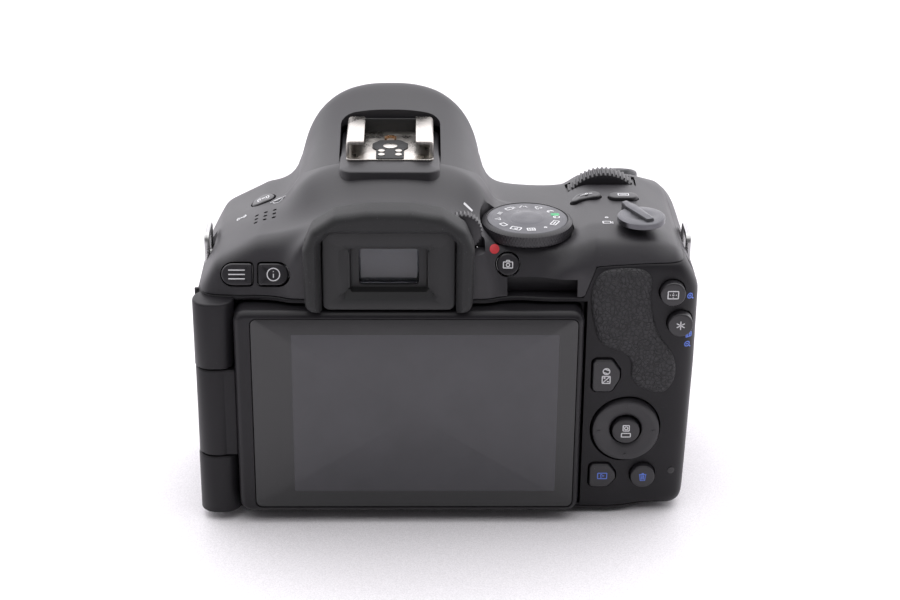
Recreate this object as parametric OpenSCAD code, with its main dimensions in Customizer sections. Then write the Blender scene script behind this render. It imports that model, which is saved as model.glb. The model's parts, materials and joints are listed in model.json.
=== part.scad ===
// Compact single-lens reflex camera body, in millimetres.
// +X is right as seen from behind, +Y points out of the lens mount, +Z is up.
// The origin is the mouth of the tripod socket, on the base under the lens axis.

/* [Body] */
// Width of the body, from the left side to the grip side
body_w = 122.4; // [122:0.1:123]
// Height from the base to the top of the flash hump
body_h = 92.6; // [92.4:0.1:93]
// Distance from the lens axis to the left side
left_w = 47.2; // [47:0.1:47.6]
// Wall thickness of the covers
wall = 2; // [1.8:0.1:2.2]
// Rear face of the body, behind the tripod socket
rear_y = -24; // [-24.2:0.1:-23.8]
// Front face of the body beside the lens mount
front_y = 23; // [22.5:0.1:23.5]
// Front of the grip
grip_y = 38.3; // [37.8:0.1:38.3]

/* [Lens mount] */
// Height of the lens axis over the base
axis_z = 37; // [36.8:0.1:37.2]
// Flange plane, in front of the tripod socket
flange_y = 35.5; // [35.4:0.1:35.6]
// Radius of the open throat
throat_r = 27; // [26.8:0.1:27]
// Outer radius of the mount ring
ring_r = 32.5; // [32:0.1:32.5]
// Outer radius of the collar that carries the ring
collar_r = 35; // [34.5:0.1:35]
// Radius of the circle through the ring's screws
screw_circle_r = 29.9; // [29.7:0.1:30]

/* [Display] */
// Width of the swinging display
display_w = 83; // [82:0.5:83]
// Height of the swinging display
display_h = 54.2; // [53:0.1:54.4]
// Thickness of the swinging display
display_t = 8.4; // [8:0.1:8.5]
// Left edge of the display
display_x = -36.8; // [-36.9:0.1:-36.7]
// Lower edge of the display
display_z = 3; // [2.9:0.1:3.1]
// Radius of the hinge column
column_r = 4.6; // [4.4:0.1:4.6]

/* [Controls] */
// Radius of the mode dial
mode_dial_r = 11; // [10.8:0.1:11]
// Radius of the main dial
main_dial_r = 10.4; // [10.2:0.1:10.4]
// Ridges round each dial
dial_ridges = 36; // [24:4:48]
// Gap round each button
button_gap = 0.3; // [0.25:0.05:0.35]
// How far buttons stand out of the body
button_out = 0.9; // [0.8:0.1:1]

/* [Hidden] */
$fn = 48;
corner_fn = 24;
far = 200;
x_left = -left_w;
x_right = body_w - left_w;
seam_y = -13;          // side seam between the rear and front covers
seam_left_z = 59;      // lower edge of the top cover, left of the display's right end
seam_right_z = 68.4;   // lower edge of the top cover over the thumb rest
seam_step_x = 47.6;
deck_z = 70.4;         // deck under the mode dial
high_deck_z = 74.5;    // raised deck over the grip
left_deck_z = 72.6;
hump_floor_z = 77;     // floor under the pop-up flash
platform_z = 84.3;     // platform that carries the hot shoe
platform_w = 24;
platform_y = [-7, 23];
flash_pivot = [2.5, 81.8];
flash_gap = 0.4;
slope_low = [rear_y, 57];      // rear face leans forward between these (y, z) points
slope_high = [-19, 70];
upright_z = 66.8;      // top of the upright rear face behind the thumb rest
lean = atan((slope_high[0] - slope_low[0]) / (slope_high[1] - slope_low[1]));
grip_slope = [[20, high_deck_z], [34, 66]];
grip_lean = atan((grip_slope[0][1] - grip_slope[1][1]) / (grip_slope[1][0] - grip_slope[0][0]));
hinge_x = -42;
hinge_y = -22.5;
arm_z = [18, 41.2];
arm_pin_r = 1.8;
display_out_y = -28.5;
display_in_y = display_out_y + display_t;
recess_y = -19.6;
recess_floor = 1.5;
eyecup_y = -31.5;
mode_dial_at = [33, -10.5];
mode_dial_h = 3.6;
switch_at = [60, -14];
main_dial_at = [53.5, 15.5];
main_dial_top_z = 76.3;
main_dial_w = 5;
main_shaft_r = 1.5;
main_bearing_t = 1.2;
shutter_at = [58, 27];
iso_at = [48.3, 4.4];
display_mode_at = [57.4, 3.6];
wireless_at = [-31.5, 7.5];
wireless_r = 2.8;
menu_at = [-36, 63.9];
info_at = [-27.3, 63.9];
live_view_at = [28.1, 66.2];
focus_point_at = [67.2, 60.2];
exposure_lock_at = [69.4, 52.2];
small_cap_r = 3;
exposure_at = [52.2, 38.7];
playback_at = [52.3, 11.2];
erase_at = [62.3, 10.9];
diopter_at = [17.3, 75];
diopter_y = [-22.6, -19.2];
diopter_shaft_r = 1;
mirror_pivot = [0.5, 53];
mirror_len = 33;
mirror_w = 28;
mirror_t = 1.2;
sub_at = 18;
gate = [24, 16];
cross_at = [57.6, 23.8];
cross_r = 8.3;
cross_pivot_y = -20.6;         // both tilting axes of the cross keys lie at this depth
cross_pin_r = 0.6;
cross_hole_r = 3.9;
release_at = [-39.6, 34];
release_r = 3.4;
lock_angle = 200;
lock_r = 1.2;
shutter_blade_z = [28.8, 34.3, 39.8];
base_screws = [[-20, 14], [-20, -8], [36, -8], [36, 15]];
skin = 0.8;            // thickness of the grip rubber
lug_y = 0;
lug_z = 61.8;
door_x = [46.5, 70];
door_y = [-9, 32];
door_barrel_r = 1.2;
door_pin_r = 0.6;
tripod_r = 3.175;
tripod_depth = 5.6;
pin_r = 0.8;
flap_r = 0.7;          // radius of the terminal covers' hinged edge
run_gap = 0.05;

// ---------- shared shapes ----------
module along_x(x0, x1, y, z, r) {
    translate([x0, y, z])
        rotate([0, 90, 0])
        cylinder(h = x1 - x0, r = r);
}

module along_y(x, y0, y1, z, r) {
    translate([x, y0, z])
        rotate([-90, 0, 0])
        cylinder(h = y1 - y0, r = r);
}

module along_z(x, y, z0, z1, r) {
    translate([x, y, z0])
        cylinder(h = z1 - z0, r = r);
}

module block(x, y, z) {
    translate([x[0], y[0], z[0]])
        cube([x[1] - x[0], y[1] - y[0], z[1] - z[0]]);
}

// A plate cut from an outline in X and Z, between two depths
module plate_xz(y0, y1) {
    translate([0, y1, 0])
        rotate([90, 0, 0])
        linear_extrude(y1 - y0)
        children();
}

// A plate cut from an outline in Y and Z, between two widths
module plate_yz(x0, x1) {
    translate([x0, 0, 0])
        rotate([90, 0, 90])
        linear_extrude(x1 - x0)
        children();
}

module disc_at(x, y, r) {
    translate([x, y])
        circle(r = r, $fn = corner_fn);
}

module rounded(w, h, r) {
    hull()
        for (x = [r, w - r], y = [r, h - r])
            disc_at(x, y, r);
}

// ---------- outlines ----------
module plan_outline() {
    offset(r = 9, $fn = 40)
        offset(delta = -9)
        polygon([[x_left, rear_y], [x_right, rear_y], [x_right, grip_y - skin], [50.5, grip_y - skin],
            [45, front_y], [x_left, front_y]]);
}

module front_outline() {
    offset(r = 3.5, $fn = corner_fn)
        offset(delta = -3.5)
        polygon([[x_left + 1, 0], [x_left, 20], [x_left, 57], [-41, 67], [-31, 71.6],
            [-24, left_deck_z], [24, left_deck_z], [30, deck_z], [44.5, deck_z],
            [48, high_deck_z], [61, high_deck_z], [68.5, 70], [x_right, 60],
            [x_right, 40], [x_right - 1.8, 0]]);
}

// Side view: the rear leans forward on the left, and stands upright behind the thumb rest
module side_outline(low, high) {
    polygon([low, high, [-16, high_deck_z], grip_slope[0], grip_slope[1],
        [grip_y - skin, 59], [grip_y - skin, 0], [rear_y, 0]]);
}

// The hump seen from behind, as half widths that narrow upward
module hump_outline() {
    top = body_h;
    half = [[25, 57], [24.4, 70], [22.6, 77], [20.9, 81], [18.3, 85], [14.7, 88.6],
        [11.2, 90.3], [7.6, 91.7], [3.5, top]];
    n = len(half);
    polygon([for (p = half) p, for (i = [n - 1 : -1 : 0]) [-half[i][0], half[i][1]]]);
}

module finder_outline() {
    polygon([[-21, 50], [-20.6, 72], [-18.6, 78], [-14, 82], [-12, platform_z],
        [12, platform_z], [14, 82], [18.6, 78], [20.6, 72], [21, 50]]);
}

module finder_profile() {
    polygon([[rear_y, 50], [rear_y, 78.7], [-13, 78.7], [-3.5, 82.6],
        [flash_pivot[0] - 3.2, platform_z], [flash_pivot[0] - 3.2, 50]]);
}

module head_profile() {
    polygon([[flash_pivot[0] - 2.7, hump_floor_z + flash_gap], [flash_pivot[0] - 2.7, platform_z + 0.2],
        [8, 87.2], [16, 90.3], [24, 92.1], [29, body_h], [32.5, 92], [35.2, 90], [36.6, 87],
        [36.9, 83], [36, hump_floor_z + flash_gap]]);
}

module main_block(grow) {
    intersection() {
        translate([0, 0, -grow])
            linear_extrude(80 + 2 * grow)
            offset(delta = grow)
            plan_outline();
        plate_xz(-50, 50)
            offset(delta = grow)
            front_outline();
        union() {
            plate_yz(-100, 100)
                offset(delta = grow)
                side_outline(slope_low, slope_high);
            plate_yz(seam_step_x - 1 - grow, 100)
                offset(delta = grow)
                side_outline([rear_y, upright_z], [rear_y + 4, upright_z + 4.5]);
        }
    }
}

module finder_block(grow) {
    intersection() {
        plate_xz(-50, 50)
            offset(delta = grow)
            finder_outline();
        plate_yz(-100, 100)
            offset(delta = grow)
            finder_profile();
    }
}

module floor_block(grow) {
    intersection() {
        plate_xz(flash_pivot[0] - 3.2 - 2, flange_y - 2 + grow)
            offset(delta = grow)
            hump_outline();
        block([-far, far], [-far, far], [50, hump_floor_z + grow]);
    }
}

module platform_block(grow) {
    block([-platform_w / 2 - grow, platform_w / 2 + grow], [platform_y[0] - grow, platform_y[1] + grow],
        [50, platform_z + grow]);
}

module outer_form() {
    main_block(0);
    finder_block(0);
    floor_block(0);
    platform_block(0);
    along_y(0, 10, flange_y - 2, axis_z, collar_r);
}

module inner_form() {
    main_block(-wall);
    finder_block(-wall);
    floor_block(-wall);
    platform_block(-wall);
    along_y(0, 10, flange_y - 2 - wall, axis_z, collar_r - wall);
}

module shell() {
    difference() {
        outer_form();
        inner_form();
    }
}

module above_seam() {
    block([-far, seam_step_x], [-far, far], [seam_left_z, far]);
    block([seam_step_x - 1, far], [-far, far], [seam_right_z, far]);
}

// ---------- buttons ----------
// A round cap on the flat rear face
// How far a key reaches below its surface; its hole, grown by a gap, goes a millimetre deeper
function key_depth(grow) = grow > 0 ? 4 : 3;

module rear_cap(x, z, r, out = button_out, deep = 3.2) {
    along_y(x, rear_y - out, rear_y + deep, z, r);
}

// Places a shape on the leaning rear face, its z axis pointing out of the face
module on_lean(x, z) {
    t = (z - slope_low[1]) / (slope_high[1] - slope_low[1]);
    translate([x, slope_low[0] + t * (slope_high[0] - slope_low[0]), z])
        rotate([90 - lean, 0, 0])
        children();
}

// Places a shape on the slope over the grip, its z axis pointing out of the slope
module on_grip_slope(x, y) {
    t = (y - grip_slope[0][0]) / (grip_slope[1][0] - grip_slope[0][0]);
    translate([x, y, grip_slope[0][1] + t * (grip_slope[1][1] - grip_slope[0][1])])
        rotate([-grip_lean, 0, 0])
        children();
}

// Tablet with one square end and one round end, as on the menu and info buttons
module tablet(w, h, side) {
    middle = side * (w - h) / 2;
    translate([middle, 0])
        circle(r = h / 2);
    translate([side > 0 ? -w / 2 : middle, -h / 2])
        square([w - h / 2, h]);
}

module menu_shape(grow) {
    on_lean(menu_at[0], menu_at[1])
        translate([0, 0, -key_depth(grow)])
        linear_extrude(key_depth(grow) + button_out)
        tablet(7.2 + 2 * grow, 5.2 + 2 * grow, -1);
}

module info_shape(grow) {
    on_lean(info_at[0], info_at[1])
        translate([0, 0, -key_depth(grow)])
        linear_extrude(key_depth(grow) + button_out)
        tablet(7.2 + 2 * grow, 5.2 + 2 * grow, 1);
}

module live_view_shape(grow) {
    on_lean(live_view_at[0], live_view_at[1])
        translate([0, 0, -key_depth(grow)])
        cylinder(h = key_depth(grow) + button_out, r = 2.65 + grow);
}

// Key with a straight left side and a right side that bulges towards the cross keys
module quarter_key(w, h) {
    offset(r = 1.2, $fn = corner_fn)
        offset(delta = -1.2)
        polygon([[-w / 2, -h / 2], [w * 0.22, -h / 2], [w / 2, -h * 0.1], [w / 2, h * 0.15],
            [w * 0.2, h / 2], [-w / 2, h / 2]]);
}

module exposure_shape(grow) {
    plate_xz(rear_y - button_out, rear_y + key_depth(grow) + 0.2)
        translate(exposure_at)
        offset(delta = grow)
        quarter_key(6.6, 8.6);
}

module playback_shape(grow) {
    plate_xz(rear_y - button_out, rear_y + key_depth(grow) + 0.2)
        translate(playback_at)
        mirror([0, 1])
        offset(delta = grow)
        quarter_key(6.4, 6.4);
}

// Pill-shaped key on the raised deck, long in X
module pill_top(at, grow) {
    w = 7.2;
    d = 3.8;
    translate([at[0], at[1], high_deck_z - key_depth(grow)])
        linear_extrude(key_depth(grow) + button_out) {
            square([w - d, d + 2 * grow], center = true);
            for (s = [-1, 1])
                translate([s * (w - d) / 2, 0])
                    circle(r = d / 2 + grow);
        }
}

module rear_holes() {
    exposure_shape(button_gap);
    playback_shape(button_gap);
    rear_cap(focus_point_at[0], focus_point_at[1], small_cap_r + button_gap, deep = 4.2);
    rear_cap(exposure_lock_at[0], exposure_lock_at[1], small_cap_r + button_gap, deep = 4.2);
    rear_cap(erase_at[0], erase_at[1], small_cap_r + button_gap, deep = 4.2);
    rear_cap(cross_at[0], cross_at[1], cross_r + button_gap, out = 2);
}

module shutter_hole() {
    on_grip_slope(shutter_at[0], shutter_at[1])
        translate([0, 0, -6])
        cylinder(h = 10, r = 5.3 + button_gap);
}

module throat_hole() {
    along_y(0, 20, flange_y, axis_z, throat_r + 0.7);
}

module top_holes() {
    menu_shape(button_gap);
    info_shape(button_gap);
    live_view_shape(button_gap);
    pill_top(iso_at, button_gap);
    pill_top(display_mode_at, button_gap);
    along_z(wireless_at[0], wireless_at[1], 66, 76, wireless_r + button_gap);
    shutter_hole();
    throat_hole();
    along_y(main_dial_at[0], main_dial_at[1] - main_dial_w / 2 - 0.4,
        main_dial_at[1] + main_dial_w / 2 + 0.4, main_dial_top_z - main_dial_r, main_dial_r + 0.4);
    along_y(main_dial_at[0], main_dial_at[1] - 8, main_dial_at[1] + 8,
        main_dial_top_z - main_dial_r, main_shaft_r + run_gap);
    along_y(diopter_at[0], diopter_y[0], -10, diopter_at[1], diopter_shaft_r + run_gap);
    along_z(mode_dial_at[0], mode_dial_at[1], 60, 80, 2.5 + run_gap);
    along_z(switch_at[0], switch_at[1], 60, 80, 1.6 + run_gap);
}

// ---------- covers ----------
module recess_cut() {
    block([display_x - 0.5, display_x + display_w + 0.9], [rear_y - 6, recess_y],
        [display_z - 1, display_z + display_h + 0.9]);
    block([x_left - 5, display_x], [rear_y - 6, hinge_y + column_r + 0.1],
        [display_z - 1, display_z + display_h + 0.9]);
}

module column(z0, z1) {
    difference() {
        union() {
            along_z(hinge_x, hinge_y, z0, z1, column_r);
            block([hinge_x - 2, hinge_x + 2], [hinge_y, hinge_y + column_r + 1.2], [z0, z1]);
        }
        along_z(hinge_x, hinge_y, z0 - 1, z1 + 1, arm_pin_r + run_gap);
    }
}

module finder_window_cut() {
    block([-9, 9], [rear_y - 1, rear_y + 6], [62, 73]);
}

module diopter_cut() {
    block([11.9, 22.6], [rear_y - 1, -18.8], [69.9, 80.2]);
}

module lug_slots() {
    block([-45.25, -43.95], [lug_y - 5.05, lug_y + 5.05], [lug_z - 4.05, 80]);
    block([72.35, 73.65], [lug_y - 5.05, lug_y + 5.05], [lug_z - 4.05, 80]);
}

module terminal_pockets() {
    block([x_left - 1, x_left + 1.7], [-8.3, 9.1], [23.7, 50.3]);
    block([x_right - 2.3, x_right + 1], [-11.3, 5.1], [21.7, 44.3]);
}

module terminal_backs() {
    intersection() {
        outer_form();
        union() {
            block([x_left, x_left + 3.5], [-9.5, 10.3], [22.5, 51.5]);
            block([x_right - 4.2, x_right + 1], [-12.5, 6.3], [20.5, 45.5]);
        }
    }
}

// Something round on the lens lock pin's axis
module on_lock(y0, y1, r) {
    along_y(screw_circle_r * cos(lock_angle), y0, y1, axis_z + screw_circle_r * sin(lock_angle), r);
}

module lock_hole(y0, y1) {
    on_lock(y0, y1, lock_r + run_gap);
}

module front_cover() {
    color([0.1, 0.1, 0.11])
        difference() {
            union() {
                difference() {
                    shell();
                    above_seam();
                    block([-far, far], [-far, seam_y], [-far, far]);
                    block([-far, far], [-far, far], [-1, wall]);
                }
                terminal_backs();
            }
            throat_hole();
            shutter_hole();
            terminal_pockets();
            lug_slots();
            along_y(release_at[0], 15, 30, release_at[1], release_r + button_gap);
            lock_hole(flange_y - 6, flange_y);
            for (a = [45 : 90 : 315])
                along_y(screw_circle_r * cos(a), flange_y - 6, flange_y, axis_z + screw_circle_r * sin(a), 0.75);
        }
}

// Two bearings behind the rear wall hold the cross keys' gimbal, above and below
module cross_bearings() {
    for (s = [-1, 1])
        translate([cross_at[0], 0, cross_at[1] + s * 8.3])
            block([-1.5, 1.5], [cross_pivot_y - 0.9, cross_pivot_y + 1], [-2, 2]);
    for (s = [-1, 1])
        translate([cross_at[0], 0, cross_at[1] + s * 9.7])
            block([-1.5, 1.5], [rear_y + wall - 0.1, cross_pivot_y], [-0.6, 0.6]);
}

module rear_cover() {
    color([0.09, 0.09, 0.1])
        difference() {
            union() {
                difference() {
                    shell();
                    above_seam();
                    block([-far, far], [seam_y, far], [-far, far]);
                    block([-far, far], [-far, far], [-1, wall]);
                    recess_cut();
                }
                block([x_left + 3, display_x + display_w + 2], [recess_y, recess_y + recess_floor],
                    [wall, seam_left_z]);
                block([display_x + display_w + 0.9, display_x + display_w + 2],
                    [rear_y + wall, recess_y + recess_floor], [wall, seam_left_z]);
                column(display_z - 1, arm_z[0] - 0.3);
                column(arm_z[1] + 0.3, seam_left_z - 0.5);
                cross_bearings();
                block([x_left + 2, display_x + 0.4], [recess_y, hinge_y + column_r + 1.7],
                    [arm_z[0] - 1.5, arm_z[1] + 1.5]);
            }
            along_z(hinge_x, hinge_y, arm_z[0] - 0.3, arm_z[1] + 0.3, column_r + 0.3);
            rear_holes();
            along_z(cross_at[0], cross_pivot_y, cross_at[1] - 9, cross_at[1] + 9, cross_pin_r + run_gap);
        }
}

// Bearing plates that hang under the top cover for the main dial and the diopter wheel
module dial_bearings() {
    plate_y = main_dial_at[1] + main_dial_w / 2 + 0.4;
    for (y = [plate_y, 2 * main_dial_at[1] - plate_y - main_bearing_t])
        block([main_dial_at[0] - 2.5, main_dial_at[0] + 2.5], [y, y + main_bearing_t],
            [main_dial_top_z - main_dial_r - 2.5, high_deck_z - wall + 0.1]);
    block([diopter_at[0] - 2.5, diopter_at[0] + 1.5], [-18.4, -16.9], [72.5, 76.9]);
}

module top_cover() {
    color([0.12, 0.12, 0.13])
        difference() {
            union() {
                intersection() {
                    shell();
                    above_seam();
                }
                intersection() {
                    outer_form();
                    above_seam();
                    union() {
                        block([25, 46.6], [rear_y, -18.2], [seam_left_z, 65.2]);
                        along_z(mode_dial_at[0], mode_dial_at[1], deck_z - 5, deck_z, 5);
                        along_z(switch_at[0], switch_at[1], high_deck_z - 5, high_deck_z, 4);
                    }
                }
                dial_bearings();
            }
            recess_cut();
            block([27, 44.6], [rear_y - 1, -20.2], [50, 63.4]);
            finder_window_cut();
            diopter_cut();
            top_holes();
            lug_slots();
            along_z(mode_dial_at[0], mode_dial_at[1], deck_z, 90, mode_dial_r + 0.4);
            along_x(-12, 12, flash_pivot[0], flash_pivot[1], 1);
            for (i = [0 : 2], j = [0 : 2])
                along_z(-32.4 + 2.2 * i, -6.4 + 2.2 * j, 69, 80, 0.5);
        }
}

module bottom_cover() {
    color([0.09, 0.09, 0.1])
        difference() {
            intersection() {
                outer_form();
                block([-far, far], [-far, far], [-1, wall]);
            }
            recess_cut();
            block([door_x[0] - 0.3, door_x[1] + 0.3], [door_y[0] - 0.3, door_y[1] + 0.3], [-1, wall + 1]);
            along_z(0, 0, -1, wall + 1, 5);
            for (y = [door_y[0] - 1.6, door_y[1] + 0.2])
                along_y(door_x[1] - door_barrel_r, y, y + 1.4, door_barrel_r, door_pin_r + run_gap);
            for (p = base_screws) {
                along_z(p[0], p[1], -1, wall + 1, 1);
                along_z(p[0], p[1], -1, 1, 1.9);
            }
        }
}

// ---------- rubber skins ----------
module grip_rubber() {
    color([0.07, 0.07, 0.07])
        intersection() {
            difference() {
                translate([0, 0, 4])
                    linear_extrude(50)
                    offset(delta = skin)
                    plan_outline();
                translate([0, 0, 3])
                    linear_extrude(60)
                    plan_outline();
            }
            block([46.5, 72.5], [front_y + 2, grip_y + 1], [4, 54]);
        }
}

module thumb_rest_rubber() {
    color([0.08, 0.08, 0.08])
        plate_xz(rear_y - 1.4, rear_y)
        offset(r = 1.5, $fn = corner_fn)
        offset(delta = -1.5)
        polygon([[47.6, 57.4], [48.5, 53.5], [51, 46], [57.2, 44.5], [58.4, 37.6], [66.5, 33.2], [69.3, 39],
            [68.6, 44], [63.2, 52], [62, 59], [62.4, 63.6], [58, 66.6], [52, 66.6], [48.6, 63.8]]);
}

// ---------- lens mount, mirror and shutter ----------
module lens_mount_ring() {
    land = 2.3;
    color([0.78, 0.78, 0.8])
        union() {
            difference() {
                union() {
                    along_y(0, flange_y - 2, flange_y, axis_z, ring_r);
                    along_y(0, flange_y - 4, flange_y - 1.9, axis_z, throat_r + 0.65);
                }
                along_y(0, flange_y - land, flange_y + 1, axis_z, throat_r);
                along_y(0, flange_y - 5, flange_y - land, axis_z, throat_r + 0.3);
                for (a = [45 : 90 : 315]) {
                    along_y(screw_circle_r * cos(a), flange_y - 3, flange_y + 1,
                        axis_z + screw_circle_r * sin(a), 0.85);
                    along_y(screw_circle_r * cos(a), flange_y - 1, flange_y + 1,
                        axis_z + screw_circle_r * sin(a), 1.5);
                }
                lock_hole(flange_y - 3, flange_y + 1);
            }
            for (a = [10, 130, 250])
                translate([0, flange_y - 2.4, axis_z])
                    rotate([90, 0, 0])
                    rotate([0, 0, a])
                    rotate_extrude(angle = 52)
                    translate([throat_r - 1.6, 0])
                    square([2.1, 1.5]);
        }
}

module small_screw(r, head_r, length) {
    difference() {
        union() {
            cylinder(h = 0.9, r = head_r);
            translate([0, 0, -length])
                cylinder(h = length, r = r);
        }
        for (a = [0, 90])
            rotate([0, 0, a])
                translate([-head_r * 0.6, -0.15, 0.45])
                cube([head_r * 1.2, 0.3, 1]);
    }
}

module screws() {
    color([0.6, 0.6, 0.62]) {
        for (a = [45 : 90 : 315])
            translate([screw_circle_r * cos(a), flange_y - 1, axis_z + screw_circle_r * sin(a)])
                rotate([-90, 0, 0])
                small_screw(0.7, 1.4, 4);
        for (p = base_screws)
            translate([p[0], p[1], 1])
                rotate([180, 0, 0])
                small_screw(0.95, 1.8, 4);
    }
}

module mirror_box() {
    color([0.05, 0.05, 0.05])
        difference() {
            block([-17, 17], [-2, 31], [22, 56]);
            block([-15.5, 15.5], [-0.5, 32], [23.5, 57]);
            block([-gate[0] / 2, gate[0] / 2], [-3, 0], [axis_z - gate[1] / 2, axis_z + gate[1] / 2]);
            along_x(-16.6, 16.6, mirror_pivot[0] + 0.6, mirror_pivot[1], pin_r + run_gap);
        }
}

// The mirror lies at 45 degrees, high at the back, and turns up about its top edge
module on_mirror(a = -45) {
    translate([0, mirror_pivot[0] + 0.6, mirror_pivot[1]])
        rotate([a, 0, 0])
        children();
}

module reflex_mirror() {
    color([0.75, 0.78, 0.8])
        on_mirror()
        difference() {
            union() {
                block([-mirror_w / 2, mirror_w / 2], [-0.9, mirror_len], [-mirror_t / 2, mirror_t / 2]);
                along_x(-16.4, 16.4, 0, 0, pin_r);
                for (s = [-1, 1])
                    block([s * 12.5 - 0.8, s * 12.5 + 0.8], [sub_at - 1.4, sub_at + 1.4], [-3.2, 0]);
            }
            along_x(-20, 20, sub_at, -2.1, 0.5 + run_gap);
        }
}

module sub_mirror() {
    color([0.7, 0.73, 0.76])
        on_mirror()
        translate([0, sub_at, -2.1])
        rotate([-90, 0, 0]) {
            block([-11, 11], [0.2, 12], [-0.4, 0.4]);
            along_x(-13.2, 13.2, 0, 0, 0.5);
            block([-11, 11], [-0.45, 0.4], [-0.4, 0.4]);
        }
}

module focusing_screen() {
    color([0.85, 0.88, 0.9, 0.6])
        block([-15, 15], [1, 29], [56.3, 57.6]);
}

module pentamirror() {
    color([0.2, 0.2, 0.22])
        plate_xz(-3, 29)
        polygon([[-16, 57.9], [16, 57.9], [16, 66], [0, 74.8], [-16, 66]]);
}

module eyepiece_lens() {
    color([0.6, 0.68, 0.72, 0.5])
        block([-8.7, 8.7], [rear_y + 0.6, rear_y + 4], [62.3, 72.7]);
}

module shutter_frame() {
    color([0.15, 0.15, 0.15])
        difference() {
            block([-19, 19], [-5.9, -2.2], [15, 54]);
            block([-17, 17], [-5.3, -2.8], [17, 52]);
            block([-gate[0] / 2, gate[0] / 2], [-7, -2], [axis_z - gate[1] / 2, axis_z + gate[1] / 2]);
        }
}

module blade(y, z0) {
    block([-15, 15], [y, y + 0.2], [z0, z0 + 6.4]);
}

module shutter_blade_lower() {
    color([0.1, 0.1, 0.1])
        blade(-4.9, shutter_blade_z[0]);
}

module shutter_blade_middle() {
    color([0.1, 0.1, 0.1])
        blade(-4.3, shutter_blade_z[1]);
}

module shutter_blade_upper() {
    color([0.1, 0.1, 0.1])
        blade(-3.7, shutter_blade_z[2]);
}

module image_sensor() {
    color([0.2, 0.35, 0.35])
        union() {
            block([-11.15, 11.15], [-8.5, -7.6], [axis_z - 7.45, axis_z + 7.45]);
            block([-15, 15], [-10.5, -8.5], [axis_z - 11, axis_z + 11]);
        }
}

module main_circuit_board() {
    color([0.1, 0.3, 0.15])
        union() {
            block([-34, 43], [-15.6, -14.4], [6, 56]);
            block([-20, -6], [-14.4, -12.8], [20, 34]);
            block([8, 18], [-14.4, -13.2], [24, 34]);
        }
}

module chassis() {
    color([0.35, 0.35, 0.37])
        difference() {
            union() {
                block([-26, 42], [-12.4, -11], [4, 58]);
                block([-26, 42], [-12.4, 20], [wall, 4]);
                block([-26, -24], [-11, 20], [4, 50]);
                along_z(0, 0, 0, tripod_depth + 3.4, 4.9);
                block([40.4, 42], [-11, 20], [4, 54]);
            }
            along_z(0, 0, -1, tripod_depth, tripod_r);
            for (p = base_screws)
                along_z(p[0], p[1], 1, 6, 1);
            block([-15.2, 15.2], [-13, -9], [axis_z - 11.2, axis_z + 11.2]);
        }
}

// ---------- power and card ----------
module battery() {
    color([0.15, 0.15, 0.16])
        block([51.5, 65.5], [-3, 30], [5, 53]);
}

module memory_card() {
    color([0.1, 0.15, 0.4])
        block([46.2, 48.3], [-17.5, 6.5], [5, 37]);
}

module battery_door() {
    color([0.1, 0.1, 0.11])
        difference() {
            union() {
                block([door_x[0], door_x[1] - door_barrel_r], door_y, [0, wall]);
                along_y(door_x[1] - door_barrel_r, door_y[0], door_y[1], door_barrel_r, door_barrel_r);
                along_y(door_x[1] - door_barrel_r, door_y[0] - 1.3, door_y[1] + 1.3, door_barrel_r, door_pin_r);
            }
            block([48.4, 54.6], [8.6, 17.4], [-1, wall + 1]);
        }
}

module battery_door_latch() {
    color([0.12, 0.12, 0.13])
        union() {
            block([48.7, 51.6], [9, 17], [0.2, wall + 0.3]);
            block([49.4, 50.9], [10, 16], [wall + 0.3, wall + 1.2]);
        }
}

// ---------- hot shoe ----------
module shoe_keyhole(grow) {
    translate([0, 8.5])
        circle(r = 4.2 + grow);
    translate([-3.6 - grow, -1])
        square([7.2 + 2 * grow, 9.5]);
}

module hot_shoe() {
    rail_z = platform_z + 1.5;
    color([0.8, 0.79, 0.77])
        union() {
            translate([0, 0, platform_z])
                linear_extrude(1.5)
                difference() {
                    translate([-10.6, 0])
                        square([21.2, 20]);
                    shoe_keyhole(0);
                }
            for (s = [-1, 1]) {
                block([s * 10 - 0.6, s * 10 + 0.6], [2.6, 20], [rail_z, rail_z + 3.1]);
                block([s * 8.45 - 2.15, s * 8.45 + 2.15], [2.6, 20], [rail_z + 2.2, rail_z + 3.1]);
            }
            block([-10.6, 10.6], [19.2, 20], [rail_z, rail_z + 2.2]);
        }
}

module hot_shoe_contacts() {
    color([0.12, 0.12, 0.13])
        union() {
            translate([0, 0, platform_z])
                linear_extrude(1.2)
                intersection() {
                    shoe_keyhole(-0.05);
                    translate([-10, 0.2])
                        square([20, 20]);
                }
            along_z(0, 8.5, platform_z + 1.2, platform_z + 1.6, 1.9);
            for (x = [-2, 2], y = [2, 4.7])
                along_z(x, y, platform_z + 1.2, platform_z + 1.6, 0.8);
        }
}

// ---------- pop-up flash ----------
module head_form(grow) {
    intersection() {
        plate_xz(-40, 60)
            offset(delta = grow)
            hump_outline();
        plate_yz(-100, 100)
            offset(delta = grow)
            head_profile();
    }
}

module flash_head() {
    gap = platform_w / 2 + flash_gap;
    color([0.11, 0.11, 0.12])
        difference() {
            union() {
                difference() {
                    head_form(0);
                    block([-gap, gap], [-20, platform_y[1] + 0.6], [50, 100]);
                    block([-far, far], [-20, flash_pivot[0]], [50, 100]);
                    intersection() {
                        head_form(-1.6);
                        block([-far, far], [platform_y[1] + 2.2, far], [50, 100]);
                    }
                    block([-11, 11], [33.4, 40], [hump_floor_z - 1, 88.4]);
                }
                for (s = [-1, 1])
                    along_x(s * 14.4 - 2, s * 14.4 + 2, flash_pivot[0], flash_pivot[1], 2.6);
            }
            along_x(-20, 20, flash_pivot[0], flash_pivot[1], 1 + run_gap);
        }
}

module flash_window() {
    color([0.85, 0.86, 0.88, 0.7])
        block([-10.8, 10.8], [33.5, 34.9], [hump_floor_z + flash_gap, 88.2]);
}

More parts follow.
